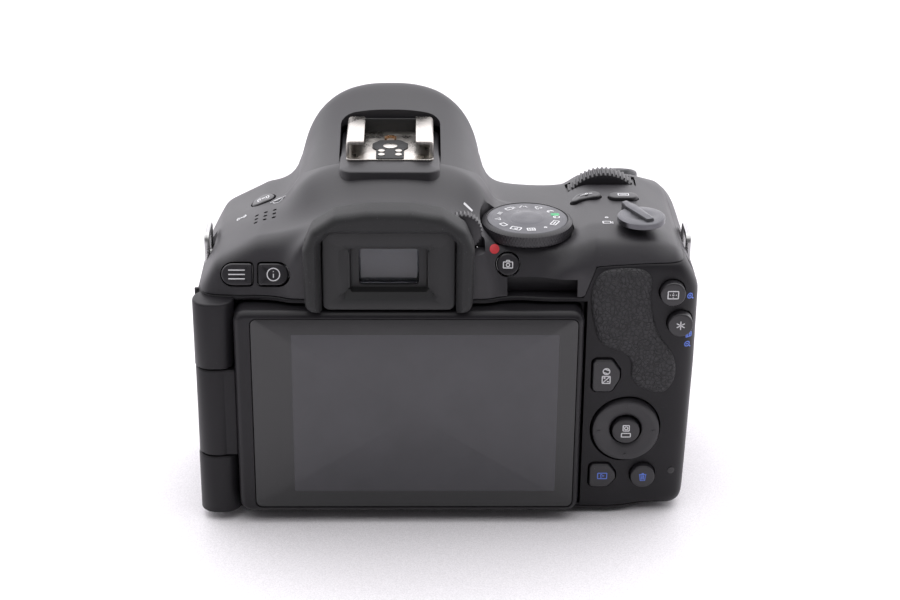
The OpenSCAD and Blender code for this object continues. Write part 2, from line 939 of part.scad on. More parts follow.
module flash_tube() {
    color([0.9, 0.9, 0.85])
        along_x(-9, 9, 30.5, 82.6, 1.2);
}

module flash_hinge_pins() {
    color([0.7, 0.7, 0.72])
        for (s = [-1, 1])
            along_x(s * 13.2 - 3.2, s * 13.2 + 3.2, flash_pivot[0], flash_pivot[1], 1);
}

// ---------- viewfinder ----------
module viewfinder_frame() {
    color([0.08, 0.08, 0.08])
        difference() {
            plate_xz(rear_y - 4, rear_y)
                translate([-15.6, 57.6])
                rounded(31.2, 20, 2.5);
            plate_xz(rear_y - 5, rear_y - 2)
                translate([-8.6, 61.9])
                square([17.2, 11.2]);
            plate_xz(rear_y - 5, rear_y + 1)
                translate([-7, 63])
                rounded(14, 9.2, 2);
        }
}

module eyecup() {
    color([0.07, 0.07, 0.07])
        difference() {
            plate_xz(eyecup_y, rear_y - 0.05)
                hull() {
                    translate([-20, 58])
                        square([40, 6]);
                    for (s = [-1, 1])
                        disc_at(s * 11.5, 75, 8.5);
                }
            plate_xz(eyecup_y - 1, rear_y)
                hull() {
                    translate([-16, 50])
                        square([32, 20]);
                    for (s = [-1, 1])
                        disc_at(s * 12.5, 74.4, 3.5);
                }
            block([11.7, 22.8], [-28.6, rear_y + 1], [69.7, 84]);
        }
}

module diopter_dial() {
    ridge = [4, 4.6];
    color([0.09, 0.09, 0.09])
        union() {
            along_y(diopter_at[0], diopter_y[0], diopter_y[1], diopter_at[1], ridge[0] + 0.3);
            along_y(diopter_at[0], diopter_y[1], -16.7, diopter_at[1], diopter_shaft_r);
            for (a = [0 : 15 : 345])
                translate([diopter_at[0], diopter_y[0], diopter_at[1]])
                    rotate([0, a, 0])
                    block(ridge, [0, diopter_y[1] - diopter_y[0]], [-0.25, 0.25]);
        }
}

// ---------- dials and top controls ----------
module mode_dial() {
    top = deck_z + 0.2 + mode_dial_h;
    color([0.5, 0.5, 0.52])
        union() {
            along_z(mode_dial_at[0], mode_dial_at[1], deck_z + 0.2, top, mode_dial_r - 0.5);
            along_z(mode_dial_at[0], mode_dial_at[1], deck_z - 6, deck_z + 0.2, 2.5);
            for (i = [0 : dial_ridges - 1])
                translate([mode_dial_at[0], mode_dial_at[1], deck_z + 0.2])
                    rotate([0, 0, i * 360 / dial_ridges])
                    block([mode_dial_r - 0.7, mode_dial_r], [-0.4, 0.4], [0, mode_dial_h - 0.3]);
        }
}

module power_switch() {
    z0 = high_deck_z + 0.2;
    color([0.4, 0.4, 0.42])
        translate([switch_at[0], switch_at[1], 0])
        union() {
            along_z(0, 0, z0, z0 + 1.5, 5.7);
            along_z(0, 0, z0 - 6, z0, 1.6);
            rotate([0, 0, -65])
                block([2, 8.4], [-1.1, 1.1], [z0, z0 + 2.4]);
        }
}

module shutter_button() {
    color([0.15, 0.15, 0.16])
        on_grip_slope(shutter_at[0], shutter_at[1])
        union() {
            translate([0, 0, -1.6])
                cylinder(h = 3, r = 5.3);
            translate([0, 0, -4])
                cylinder(h = 3, r = 2);
        }
}

module main_dial() {
    z = main_dial_top_z - main_dial_r;
    y0 = main_dial_at[1] - main_dial_w / 2;
    shaft = main_bearing_t + 0.4;
    color([0.12, 0.12, 0.12])
        union() {
            along_y(main_dial_at[0], y0, y0 + main_dial_w, z, main_dial_r - 0.5);
            along_y(main_dial_at[0], y0 - shaft, y0 + main_dial_w + shaft, z, main_shaft_r);
            for (i = [0 : dial_ridges - 1])
                translate([main_dial_at[0], y0, z])
                    rotate([0, i * 360 / dial_ridges, 0])
                    block([main_dial_r - 0.7, main_dial_r], [0.1, main_dial_w - 0.1], [-0.4, 0.4]);
        }
}

module iso_button() {
    color([0.1, 0.1, 0.11])
        pill_top(iso_at, 0);
}

module display_mode_button() {
    color([0.1, 0.1, 0.11])
        pill_top(display_mode_at, 0);
}

module wireless_button() {
    color([0.1, 0.1, 0.11])
        along_z(wireless_at[0], wireless_at[1], 69, 72.4, wireless_r);
}

// ---------- rear controls ----------
module menu_button() {
    color([0.1, 0.1, 0.11])
        menu_shape(0);
}

module info_button() {
    color([0.1, 0.1, 0.11])
        info_shape(0);
}

module live_view_button() {
    color([0.1, 0.1, 0.11])
        live_view_shape(0);
}

module focus_point_button() {
    color([0.1, 0.1, 0.11])
        rear_cap(focus_point_at[0], focus_point_at[1], small_cap_r);
}

module exposure_lock_button() {
    color([0.1, 0.1, 0.11])
        rear_cap(exposure_lock_at[0], exposure_lock_at[1], small_cap_r);
}

module exposure_button() {
    color([0.1, 0.1, 0.11])
        exposure_shape(0);
}

module playback_button() {
    color([0.1, 0.1, 0.11])
        playback_shape(0);
}

module erase_button() {
    color([0.1, 0.1, 0.11])
        rear_cap(erase_at[0], erase_at[1], small_cap_r);
}

module cross_keys() {
    ear = 6.5;
    color([0.11, 0.11, 0.12])
        difference() {
            union() {
                along_y(cross_at[0], rear_y - 1.1, rear_y + 1.6, cross_at[1], cross_r);
                for (s = [-1, 1])
                    translate([cross_at[0] + s * ear, 0, cross_at[1]]) {
                        along_x(-0.5 - 1.6 * max(s, 0), 0.5 + 1.6 * max(-s, 0), cross_pivot_y, 0, cross_pin_r);
                        block([-0.5, 0.5], [rear_y + 1.5, cross_pivot_y + cross_pin_r],
                            [-cross_pin_r, cross_pin_r]);
                    }
            }
            along_y(cross_at[0], rear_y - 2, rear_y + 2, cross_at[1], cross_hole_r);
        }
}

module cross_key_gimbal() {
    ring_r = 5.7;
    color([0.3, 0.3, 0.32])
        difference() {
            union() {
                along_y(cross_at[0], cross_pivot_y - 0.8, cross_pivot_y + 0.8, cross_at[1], ring_r);
                for (s = [-1, 1])
                    along_z(cross_at[0], cross_pivot_y, cross_at[1] + s * (ring_r + 1) - 1.4,
                        cross_at[1] + s * (ring_r + 1) + 1.4, cross_pin_r);
            }
            along_y(cross_at[0], rear_y, rear_y + 6, cross_at[1], cross_hole_r);
            along_x(cross_at[0] - 9, cross_at[0] + 9, cross_pivot_y, cross_at[1], cross_pin_r + run_gap);
        }
}

module set_button() {
    color([0.1, 0.1, 0.11])
        along_y(cross_at[0], rear_y - 1.3, rear_y + 4.2, cross_at[1], 3.4);
}

// ---------- display ----------
module display_arm() {
    color([0.1, 0.1, 0.11])
        union() {
            along_z(hinge_x, hinge_y, arm_z[0], arm_z[1], column_r);
            along_z(hinge_x, hinge_y, arm_z[0] - 7, arm_z[1] + 7, arm_pin_r);
            block([hinge_x, display_x], [hinge_y - 4, hinge_y + 1.5], [arm_z[0] + 0.4, arm_z[1] - 0.4]);
        }
}

module display_housing() {
    color([0.08, 0.08, 0.09])
        difference() {
            plate_xz(display_out_y, display_in_y)
                translate([display_x, display_z])
                rounded(display_w, display_h, 3);
            plate_xz(display_out_y - 1, display_out_y + 1)
                translate([display_x + 3.9, display_z + 1.4])
                rounded(77.8, 51.2, 1.6);
        }
}

module display_glass() {
    color([0.12, 0.12, 0.14])
        plate_xz(display_out_y + 0.15, display_out_y + 1)
        translate([display_x + 4, display_z + 1.5])
        rounded(77.6, 51, 1.5);
}

// ---------- outside details ----------
module lug_plate(x) {
    plate_yz(x, x + 1.2)
        translate([lug_y - 5, lug_z - 4])
        difference() {
            rounded(10, 9.4, 2.2);
            translate([1.4, 5.6])
                rounded(7.2, 2.4, 1.19);
        }
}

module strap_lugs() {
    color([0.75, 0.75, 0.77]) {
        lug_plate(-45.2);
        lug_plate(72.4);
    }
}

module terminal_cover_left() {
    color([0.07, 0.07, 0.07])
        union() {
            block([x_left, x_left + 2 * flap_r], [-8, 8.8 - flap_r], [24, 50]);
            along_z(x_left + flap_r, 8.8 - flap_r, 24, 50, flap_r);
        }
}

module terminal_cover_right() {
    color([0.07, 0.07, 0.07])
        intersection() {
            main_block(0);
            union() {
                block([x_right - 2, x_right], [-11, 4.8 - flap_r], [22, 44]);
                along_z(x_right - flap_r, 4.8 - flap_r, 22, 44, flap_r);
            }
        }
}

module lens_release_button() {
    color([0.12, 0.12, 0.13])
        along_y(release_at[0], front_y - 3.5, front_y + 3, release_at[1], release_r);
}

module lens_lock_pin() {
    color([0.8, 0.8, 0.82])
        on_lock(28, flange_y + 1.2, lock_r);
}

front_cover();
rear_cover();
top_cover();
bottom_cover();
grip_rubber();
thumb_rest_rubber();
lens_mount_ring();
screws();
mirror_box();
reflex_mirror();
sub_mirror();
focusing_screen();
pentamirror();
eyepiece_lens();
viewfinder_frame();
eyecup();
shutter_frame();
shutter_blade_lower();
shutter_blade_middle();
shutter_blade_upper();
image_sensor();
main_circuit_board();
chassis();
battery();
battery_door();
battery_door_latch();
memory_card();
hot_shoe();
hot_shoe_contacts();
flash_head();
flash_window();
flash_tube();
flash_hinge_pins();
mode_dial();
power_switch();
shutter_button();
main_dial();
iso_button();
display_mode_button();
wireless_button();
menu_button();
info_button();
live_view_button();
focus_point_button();
exposure_lock_button();
exposure_button();
cross_keys();
cross_key_gimbal();
set_button();
playback_button();
erase_button();
diopter_dial();
display_arm();
display_housing();
display_glass();
strap_lugs();
terminal_cover_left();
terminal_cover_right();
lens_release_button();
lens_lock_pin();
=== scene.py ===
"""Looks for a compact reflex camera body, laid out as an add-on and run as a script.

Shapes are worked out in millimetres in the body's own frame (+X right from behind, +Y out of the lens
mount, +Z up, origin at the tripod socket) and turned into metres where a mesh is made.
"""
import json
import math

import bpy
import numpy as np
from bpy.props import FloatProperty, FloatVectorProperty, PointerProperty
from mathutils import Matrix, Vector

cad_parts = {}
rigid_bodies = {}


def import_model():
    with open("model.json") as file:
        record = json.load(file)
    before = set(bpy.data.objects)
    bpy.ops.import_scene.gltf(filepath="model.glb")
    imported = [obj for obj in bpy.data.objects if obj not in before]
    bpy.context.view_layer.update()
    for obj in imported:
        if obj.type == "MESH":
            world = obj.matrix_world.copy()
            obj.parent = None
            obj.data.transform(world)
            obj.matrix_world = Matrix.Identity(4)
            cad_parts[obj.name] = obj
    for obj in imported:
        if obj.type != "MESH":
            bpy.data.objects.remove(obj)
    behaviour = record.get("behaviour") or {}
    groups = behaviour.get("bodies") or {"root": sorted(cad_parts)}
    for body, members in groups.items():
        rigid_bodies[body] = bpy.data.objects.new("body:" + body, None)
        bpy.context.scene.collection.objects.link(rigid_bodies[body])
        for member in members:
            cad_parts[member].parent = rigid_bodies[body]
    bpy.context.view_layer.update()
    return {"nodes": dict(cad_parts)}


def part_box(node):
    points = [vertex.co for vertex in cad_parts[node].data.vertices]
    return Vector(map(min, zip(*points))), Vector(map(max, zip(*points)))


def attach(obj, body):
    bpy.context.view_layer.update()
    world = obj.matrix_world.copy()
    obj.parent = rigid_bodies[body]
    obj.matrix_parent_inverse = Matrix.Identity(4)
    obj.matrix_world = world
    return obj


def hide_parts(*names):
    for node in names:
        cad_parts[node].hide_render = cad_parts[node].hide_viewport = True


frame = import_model()

bl_info = {
    "name": "Reflex camera body",
    "version": (1, 0, 0),
    "blender": (4, 5, 0),
    "location": "View3D > Sidebar > Camera body",
    "description": "Builds the visible pieces of a compact reflex camera body",
    "category": "Object",
}

MM = 0.001
TURN = 2 * math.pi


def cad(node):
    """Lowest and highest corner of a CAD node, in millimetres."""
    low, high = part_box(node)
    return np.array(low) / MM, np.array(high) / MM


# Places that the frame gives ------------------------------------------------------------------------
HOUSING = cad("display_housing")
GLASS = cad("display_glass")
AXIS_Z = (cad("lens_mount_ring")[0][2] + cad("lens_mount_ring")[1][2]) / 2
FLANGE_Y = cad("lens_mount_ring")[1][1]
X_LEFT = cad("front_cover")[0][0]
X_RIGHT = cad("front_cover")[1][0]
REAR_Y = cad("bottom_cover")[0][1]
FRONT_Y = 23.0
GRIP_Y = 38.2
SEAM_Z = 59.0
DECK_Z = 70.4
PLATFORM_Z = cad("hot_shoe")[0][2]
WALL = 1.7
LEAN = math.atan2(5, 13)
GRIP_LEAN = math.atan2(8.5, 14)
FLASH_FLOOR_Z = 77.0
FILLET = 2.2
HUMP_POWER, FINDER_POWER = 2.55, 2.7
MODE_DIAL_AT = (33, -10.5, 0)
MAIN_DIAL_AT = (53.5, 15.5, 65.9)
SWITCH_AT = (60, -14, 0)
DIOPTER_AT = (17.3, -22.4, 75)
CROSS_AT = (57.6, REAR_Y, 23.8)


# Fields: negative inside, positive outside, close to a distance in millimetres ---------------------
def wound(points):
    """An outline's points in anticlockwise order: turned round if the signed area is negative."""
    p = np.asarray(points, float)
    area = np.sum(p[:, 0] * np.roll(p[:, 1], -1) - p[:, 1] * np.roll(p[:, 0], -1))
    return p[::-1] if area < 0 else p


def polygon_field(points, radius):
    """A convex or hollow polygon with round corners: its sides move in by the radius, then the distance
    to the smaller polygon, less the radius, is zero on the rounded outline."""
    p = wound(points)
    side = np.roll(p, -1, 0) - p
    side /= np.linalg.norm(side, axis=1, keepdims=True)
    inward = np.stack([-side[:, 1], side[:, 0]], 1)
    start = p + inward * radius
    corners = []
    for i in range(len(p)):
        a, da, b, db = start[i - 1], side[i - 1], start[i], side[i]
        t = ((b[0] - a[0]) * db[1] - (b[1] - a[1]) * db[0]) / (da[0] * db[1] - da[1] * db[0])
        corners.append(a + da * t)

    def field(a, b):
        near = np.full(np.shape(a), np.inf)
        inside = np.zeros(np.shape(a), bool)
        for (px, py), (qx, qy) in zip(corners, corners[1:] + corners[:1]):
            ex, ey = qx - px, qy - py
            t = np.clip(((a - px) * ex + (b - py) * ey) / (ex * ex + ey * ey), 0, 1)
            near = np.minimum(near, (a - px - t * ex) ** 2 + (b - py - t * ey) ** 2)
            crossing = (py > b) != (qy > b)
            inside ^= crossing & (a < px + (b - py) * ex / (ey if ey else 1e-9))
        distance = np.sqrt(near)
        return np.where(inside, -distance, distance) - radius

    return field


def soft_max(fields, k):
    """Soft maximum: k times the log of the summed exponentials, which rounds the edge where fields meet."""
    top = np.maximum.reduce(fields)
    return top + k * np.log(sum(np.exp((f - top) / k) for f in fields))


def soft_min(fields, k):
    """Soft minimum, which fills the corner between two forms with a fillet."""
    return -soft_max([-f for f in fields], k)


def ramp(value, low, high):
    """Smooth step from 0 at low to 1 at high."""
    t = np.clip((value - low) / (high - low), 0, 1)
    return t * t * (3 - 2 * t)


core_plan = polygon_field([(X_LEFT, REAR_Y), (62, REAR_Y), (62, FRONT_Y), (X_LEFT, FRONT_Y)], 9)
core_front = polygon_field([(X_LEFT + 1, 0), (X_LEFT, 20), (X_LEFT, 57), (-41.5, 66.4), (-31, 71.6),
                            (-20, 73), (44, DECK_Z), (62, DECK_Z), (62, 0)], 5)
core_side = polygon_field([(REAR_Y, 0), (REAR_Y, 57), (-19, 70), (-17, 74), (FRONT_Y, 74), (FRONT_Y, 0)],
                          1.5)
grip_plan = polygon_field([(30, REAR_Y), (X_RIGHT, REAR_Y), (X_RIGHT, GRIP_Y), (50.3, GRIP_Y), (43.6, 20),
                           (30, 20)], 7.5)
grip_front = polygon_field([(24, 0), (24, 45), (44, 69.8), (47.6, 74.4), (61, 74.5), (68.5, 70),
                            (X_RIGHT, 60), (X_RIGHT, 40), (X_RIGHT - 1.8, 0)], 4.5)
grip_side = polygon_field([(REAR_Y, 0), (REAR_Y, 66), (-19.5, 72), (-13, 74.5), (20, 74.5), (34, 66),
                           (GRIP_Y, 57), (GRIP_Y, 0)], 5)


def body_field(x, y, z):
    """The body without its hump: a core block and a grip block, each the soft meeting of a plan, a front
    view and a side view, joined by a fillet."""
    core = soft_max([core_plan(x, y), core_front(x, z), core_side(y, z)], 1.3)
    grip = soft_max([grip_plan(x, y), grip_front(x, z), grip_side(y, z)], 1.6)
    return soft_min([core, grip], 1.5)


def hump_section(x, z, half, foot, top):
    """Section of the hump: a superellipse whose half width is half and which rises from foot to top."""
    return (np.abs(x) / half) ** HUMP_POWER + (np.maximum(z - foot, 0) / (top - foot)) ** HUMP_POWER


def head_field(x, y, z):
    """The flash head: sections that widen backwards and climb forwards, closed by a round nose."""
    top = 84.6 + 0.17 * np.maximum(y, 0) + 0.0046 * np.maximum(y, 0) ** 2
    half = 24.2 - 0.055 * y
    r = hump_section(x, z, half, 70.0, top) + (np.maximum(y - 26.5, 0) / 10.4) ** 3.5
    return 19 * (r ** (1 / HUMP_POWER) - 1)


def finder_field(x, y, z):
    """The finder housing behind the flash head: a flatter section that climbs to meet the head's own
    section at its rear edge, with an upright rear face."""
    climb = ramp(y, -17, 0)
    foot = 61 + 9 * climb
    top = 78.9 + 5.6 * climb
    r = (np.abs(x) / (23.1 + 1.1 * climb)) ** FINDER_POWER + (np.maximum(z - foot,
                                                                         0) / (top - foot)) ** FINDER_POWER
    return soft_max([17 * (r ** (1 / FINDER_POWER) - 1), REAR_Y - y, 50 - z], 0.8)


def cover_field(x, y, z):
    """Top cover: body, finder housing and the floor under the flash head."""
    body = body_field(x, y, z)
    rear = soft_min([body, finder_field(x, y, z)], FILLET)
    rear = np.maximum(rear, np.minimum(y - 6, body))
    prow = np.maximum.reduce([head_field(x, y, z), y - FLANGE_Y + 2.2, 46 - z])
    front = soft_min([body, prow], FILLET)
    front = np.maximum(front, z - FLASH_FLOOR_Z)
    front = np.maximum(front, np.minimum(-0.4 - y, body))
    return np.minimum(np.minimum(rear, front), body)


def flash_field(x, y, z):
    """Flash head with the same foot fillet as the cover, so that the two meet flush at the seam."""
    return soft_min([body_field(x, y, z), head_field(x, y, z)], FILLET)


# Mesh parts: a part is (points in millimetres, list of face arrays) --------------------------------
def outward(points, faces):
    """Turns a closed part's faces over if its signed volume is negative."""
    volume = 0.0
    for f in faces:
        a = points[f[:, 0]]
        for k in range(1, f.shape[1] - 1):
            volume += np.einsum("ij,ij->", a, np.cross(points[f[:, k]], points[f[:, k + 1]]))
    return (points, faces) if volume >= 0 else (points, [f[:, ::-1] for f in faces])


def join(*parts):
    """Puts closed parts together in one list of points and faces."""
    points, faces, base = [], [], 0
    for p, fs in parts:
        points.append(p)
        faces += [f + base for f in fs]
        base += len(p)
    return np.concatenate(points), faces


def grid_faces(n, m, wrap=False):
    """Four-sided faces between neighbouring rows and columns of a grid of n by m points."""
    index = np.arange(n * m).reshape(n, m)
    if wrap:
        index = np.concatenate([index, index[:, :1]], 1)
    return np.stack([index[:-1, :-1], index[1:, :-1], index[1:, 1:], index[:-1, 1:]], -1).reshape(-1, 4)


def rays_to(field, origin, direction, reach=70):
    """Points where rays leave a field: the interval on each ray is halved until it is very short."""
    low = np.zeros(origin.shape[:-1])
    high = np.full(origin.shape[:-1], float(reach))
    for _ in range(24):
        middle = (low + high) / 2
        p = origin + direction * middle[..., None]
        out = field(p[..., 0], p[..., 1], p[..., 2]) > 0
        high = np.where(out, middle, high)
        low = np.where(out, low, middle)
    return origin + direction * ((low + high) / 2)[..., None]


def shell(field, origin, direction, tuck, wall=WALL, floor=None, reach=70):
    """A closed shell: an outer grid where rays leave the field, an inner grid one wall deeper, and a
    rim. The tuck draws the outer surface in along the border, which makes the seam's small groove.
    With a floor the inner grid lies flat at that height and the form is solid."""
    outer = rays_to(lambda x, y, z: field(x, y, z) + tuck, origin, direction, reach)
    if floor is None:
        inner = rays_to(lambda x, y, z: field(x, y, z) + wall, origin, direction, reach)
    else:
        inner = np.concatenate([outer[..., :2], np.full(outer.shape[:2] + (1,), floor)], -1)
    n, m = outer.shape[:2]
    index = np.arange(n * m).reshape(n, m)
    quads = grid_faces(n, m)
    border = np.concatenate([index[:, 0], index[-1, 1:], index[-2::-1, -1], index[0, -2:0:-1]])
    ahead = np.roll(border, -1)
    rim = np.stack([ahead, border, border + n * m, ahead + n * m], 1)
    points = np.concatenate([outer.reshape(-1, 3), inner.reshape(-1, 3)])
    return outward(points, [quads, quads[:, ::-1] + n * m, rim])


def axes_for(normal, across=(1, 0, 0)):
    """A right-handed set of axes whose third is the normal and whose first is close to across."""
    n = np.array(normal, float)
    n /= np.linalg.norm(n)
    u = np.array(across, float)
    u -= n * u.dot(n)
    u /= np.linalg.norm(u)
    return u, np.cross(n, u), n


REARWARD = axes_for((0, -1, 0))
UPWARD = axes_for((0, 0, 1))
FORWARD = axes_for((0, 1, 0), (-1, 0, 0))
LEANING = axes_for((0, -math.cos(LEAN), math.sin(LEAN)))
SLOPING = axes_for((0, math.sin(GRIP_LEAN), math.cos(GRIP_LEAN)))


def place(local, at, axes, field=None):
    """Carries points from a set of axes at a place into the body's frame. With a field, heights count
    from where each line along the third direction leaves it."""
    u, v, n = axes
    flat = np.asarray(at, float) + local[..., 0:1] * u + local[..., 1:2] * v
    if field is not None:
        flat = rays_to(field, flat - 6 * n, np.broadcast_to(n, flat.shape), 16)
    return flat + local[..., 2:3] * n


def stack(outline, rows, at, axes, field=None):
    """Rings of one outline, each drawn in by an inset and lifted to a height, closed by fans at both
    ends. Rows are (inset, height)."""
    o = wound(outline)
    along = np.roll(o, -1, 0) - np.roll(o, 1, 0)
    along /= np.linalg.norm(along, axis=1, keepdims=True) + 1e-12
    inward = np.stack([-along[:, 1], along[:, 0]], 1)
    rings = [np.column_stack([o + inward * inset, np.full(len(o), height)]) for inset, height in rows]
    n, m = len(rows), len(o)
    centre = [[rings[0][:, 0].mean(), rings[0][:, 1].mean(), rows[0][1]],
              [rings[-1][:, 0].mean(), rings[-1][:, 1].mean(), rows[-1][1]]]
    local = np.concatenate(rings + [np.array(centre)])
    ring = np.arange(m)
    foot = np.stack([np.full(m, n * m), ring, np.roll(ring, -1)], 1)
    head = np.stack([np.full(m, n * m + 1), (n - 1) * m + np.roll(ring, -1), (n - 1) * m + ring], 1)
    return outward(place(local, at, axes, field), [grid_faces(n, m, True), foot, head])


def lathe(profile, at, axes, count=72, ripple=None, hollow=False):
    """A profile of (radius, height) turned round the axes' third direction. The ripple changes the
    radius by row and angle. A hollow profile is a closed loop and has no end caps."""
    p = np.asarray(profile, float)
    t = np.arange(count) * TURN / count
    radius = np.repeat(p[:, :1], count, 1)
    if ripple is not None:
        radius = radius + ripple(np.arange(len(p))[:, None], t[None])
    local = np.stack([radius * np.cos(t), radius * np.sin(t), np.repeat(p[:, 1:], count, 1)], -1)
    n = len(p)
    if hollow:
        local = np.concatenate([local, local[:1]])
        faces = grid_faces(n + 1, count, True) % (n * count)
        return outward(place(local[:n].reshape(-1, 3), at, axes), [faces])
    ends = np.array([[0, 0, p[0, 1]], [0, 0, p[-1, 1]]], float)
    ring = np.arange(count)
    foot = np.stack([np.full(count, n * count), ring, np.roll(ring, -1)], 1)
    head = np.stack([np.full(count, n * count + 1), (n - 1) * count + np.roll(ring, -1),
                     (n - 1) * count + ring], 1)
    points = np.concatenate([local.reshape(-1, 3), ends])
    return outward(place(points, at, axes), [grid_faces(n, count, True), foot, head])


def rounded_box(w, h, r, steps=8, centre=(0, 0)):
    """Rectangle outline with arcs of radius r at its corners."""
    r = min(r, w / 2 - 1e-3, h / 2 - 1e-3)
    points = []
    for i, (sx, sy) in enumerate(((1, 1), (-1, 1), (-1, -1), (1, -1))):
        for a in np.linspace(i * TURN / 4, (i + 1) * TURN / 4, steps + 1):
            points.append((centre[0] + sx * (w / 2 - r) + r * math.cos(a),
                           centre[1] + sy * (h / 2 - r) + r * math.sin(a)))
    return np.array(points)


def subdivide(outline, step):
    """Adds points along an outline's long sides so that none is longer than the step."""
    out = []
    for a, b in zip(outline, np.roll(outline, -1, 0)):
        n = max(1, int(np.ceil(np.linalg.norm(b - a) / step)))
        out += [a + (b - a) * i / n for i in range(n)]
    return np.array(out)


def loop_curve(points, per=10):
    """Closed smooth curve through a few points, by cubic interpolation between neighbours."""
    p = np.asarray(points, float)
    t = np.arange(per)[:, None] / per
    out = []
    for i in range(len(p)):
        a, b, c, d = p[i - 1], p[i], p[(i + 1) % len(p)], p[(i + 2) % len(p)]
        out.append(b + 0.5 * t * (c - a + t * (2 * a - 5 * b + 4 * c - d + t * (3 * (b - c) + d - a))))
    return np.concatenate(out)


def circle(r, count=48, centre=(0, 0)):
    """Round outline."""
    t = np.arange(count) * TURN / count
    return np.column_stack([centre[0] + r * np.cos(t), centre[1] + r * np.sin(t)])


def soft_rows(low, high, round_top, round_foot=0.0, dome=0.0):
    """Rows for a cap: a quarter round at the top edge, the same at the foot, and a slight dome."""
    rows = []
    if round_foot:
        for a in np.linspace(0, math.pi / 2, 5)[:-1]:
            rows.append((round_foot * (1 - math.sin(a)), low + round_foot * (1 - math.cos(a))))
    else:
        rows.append((0.0, low))
    for a in np.linspace(0, math.pi / 2, 6):
        rows.append((round_top * (1 - math.cos(a)), high - dome - round_top * (1 - math.sin(a))))
    if dome:
        for s in (0.35, 0.7):
            rows.append((round_top * (1 + 3 * s), high - dome * (1 - s) ** 2))
    return rows


def slab(x, y, z, r=0.3, edge=0.15):
    """Block between two corners with rounded upright edges and softened rims."""
    outline = rounded_box(x[1] - x[0], y[1] - y[0], r, 5, ((x[0] + x[1]) / 2, (y[0] + y[1]) / 2))
    return stack(outline, soft_rows(z[0], z[1], edge, edge), (0, 0, 0), UPWARD)


def ribbon(points, width, at, axes, height=0.05, closed=False, sink=0.3, field=None):
    """A printed line: a path widened to both sides along its normals and lifted a hair."""
    p = np.asarray(points, float)
    if closed:
        along = np.roll(p, -1, 0) - np.roll(p, 1, 0)
    else:
        along = np.gradient(p, axis=0)
    along /= np.linalg.norm(along, axis=1, keepdims=True) + 1e-12
    side = np.stack([-along[:, 1], along[:, 0]], 1) * width / 2
    n = len(p)
    corners = [np.column_stack([p + side, np.full(n, height)]),
               np.column_stack([p - side, np.full(n, height)]),
               np.column_stack([p - side, np.full(n, -sink)]),
               np.column_stack([p + side, np.full(n, -sink)])]
    local = np.stack(corners, 1).reshape(-1, 3)
    faces = grid_faces(n, 4, True)
    if closed:
        index = np.arange(n * 4).reshape(n, 4)
        last, first = index[-1], index[0]
        seam = np.stack([last, first, np.roll(first, -1), np.roll(last, -1)], 1)
        all_faces = [faces, seam]
    else:
        all_faces = [faces, np.array([[0, 1, 2, 3]]),
                     np.array([[4 * n - 1, 4 * n - 2, 4 * n - 3, 4 * n - 4]])]
    return outward(place(local, at, axes, field), all_faces)


def make_object(name, part):
    """Mesh object from a part, in metres."""
    points, faces = part
    mesh = bpy.data.meshes.new(name)
    mesh.vertices.add(len(points))
    mesh.vertices.foreach_set("co", (points * MM).astype(np.float32).ravel())
    loops = np.concatenate([f.ravel() for f in faces]).astype(np.int32)
    sizes = np.concatenate([np.full(len(f), f.shape[1]) for f in faces])
    mesh.loops.add(len(loops))
    mesh.loops.foreach_set("vertex_index", loops)
    mesh.polygons.add(len(sizes))
    mesh.polygons.foreach_set("loop_start", np.concatenate([[0], np.cumsum(sizes)[:-1]]).astype(np.int32))
    mesh.update(calc_edges=True)
    mesh.validate()
    piece = bpy.data.objects.new(name, mesh)
    bpy.context.scene.collection.objects.link(piece)
    return piece


def apply_modifiers(piece):
    """Replaces a piece's mesh with what its modifiers make of it."""
    graph = bpy.context.evaluated_depsgraph_get()
    made = bpy.data.meshes.new_from_object(piece.evaluated_get(graph))
    piece.modifiers.clear()
    piece.data = made


def carve(piece, cutters):
    """Cuts closed parts out of a piece."""
    tools = bpy.data.collections.new("tools")
    for cutter in cutters:
        tool = make_object("tool", cutter)
        tools.objects.link(tool)
    before = len(piece.data.polygons)
    cut = piece.modifiers.new("cut", "BOOLEAN")
    cut.operation = "DIFFERENCE"
    cut.solver = "MANIFOLD"
    cut.operand_type = "COLLECTION"
    cut.collection = tools
    apply_modifiers(piece)
    for tool in list(tools.objects):
        bpy.data.objects.remove(tool)
    bpy.data.collections.remove(tools)
    if len(piece.data.polygons) in range(int(0.2 * before)) or len(piece.data.polygons) == before:
        raise RuntimeError(piece.name + " was not cut as it should be")


def finish(name, parts, body, material, nodes=(), cutters=(), bevel=0.0, sharp=38):
    """Makes a piece, cuts and softens it, gives its finish, and lets it ride on its body."""
    piece = make_object(name, join(*parts))
    if cutters:
        carve(piece, cutters)
    mesh = piece.data
    mesh.polygons.foreach_set("use_smooth", np.ones(len(mesh.polygons), bool))
    mesh.set_sharp_from_angle(angle=math.radians(sharp))
    if bevel:
        soften = piece.modifiers.new("soften", "BEVEL")
        soften.width = bevel * MM
        soften.segments = 2
        soften.limit_method = "ANGLE"
        soften.angle_limit = math.radians(42)
        apply_modifiers(piece)
        piece.data.set_sharp_from_angle(angle=math.radians(50))
    piece.data.materials.clear()
    piece.data.materials.append(material)
    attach(piece, body)
    if nodes:
        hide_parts(*nodes)
    return piece


# Covers: families of rays that share their seams --------------------------------------------------
SEAM_X = [46.2, 49.0, 60.0, 66.0]
SEAM_HEIGHTS = [SEAM_Z, 66.6, 67.2, 67.2]
LEFT_CORE, RIGHT_CORE = -38.0, 66.0


def seam_height(x):
    """Height of the seam under the top cover: level on the left, a step up over the right hand's pad."""
    return np.interp(x, SEAM_X, SEAM_HEIGHTS)


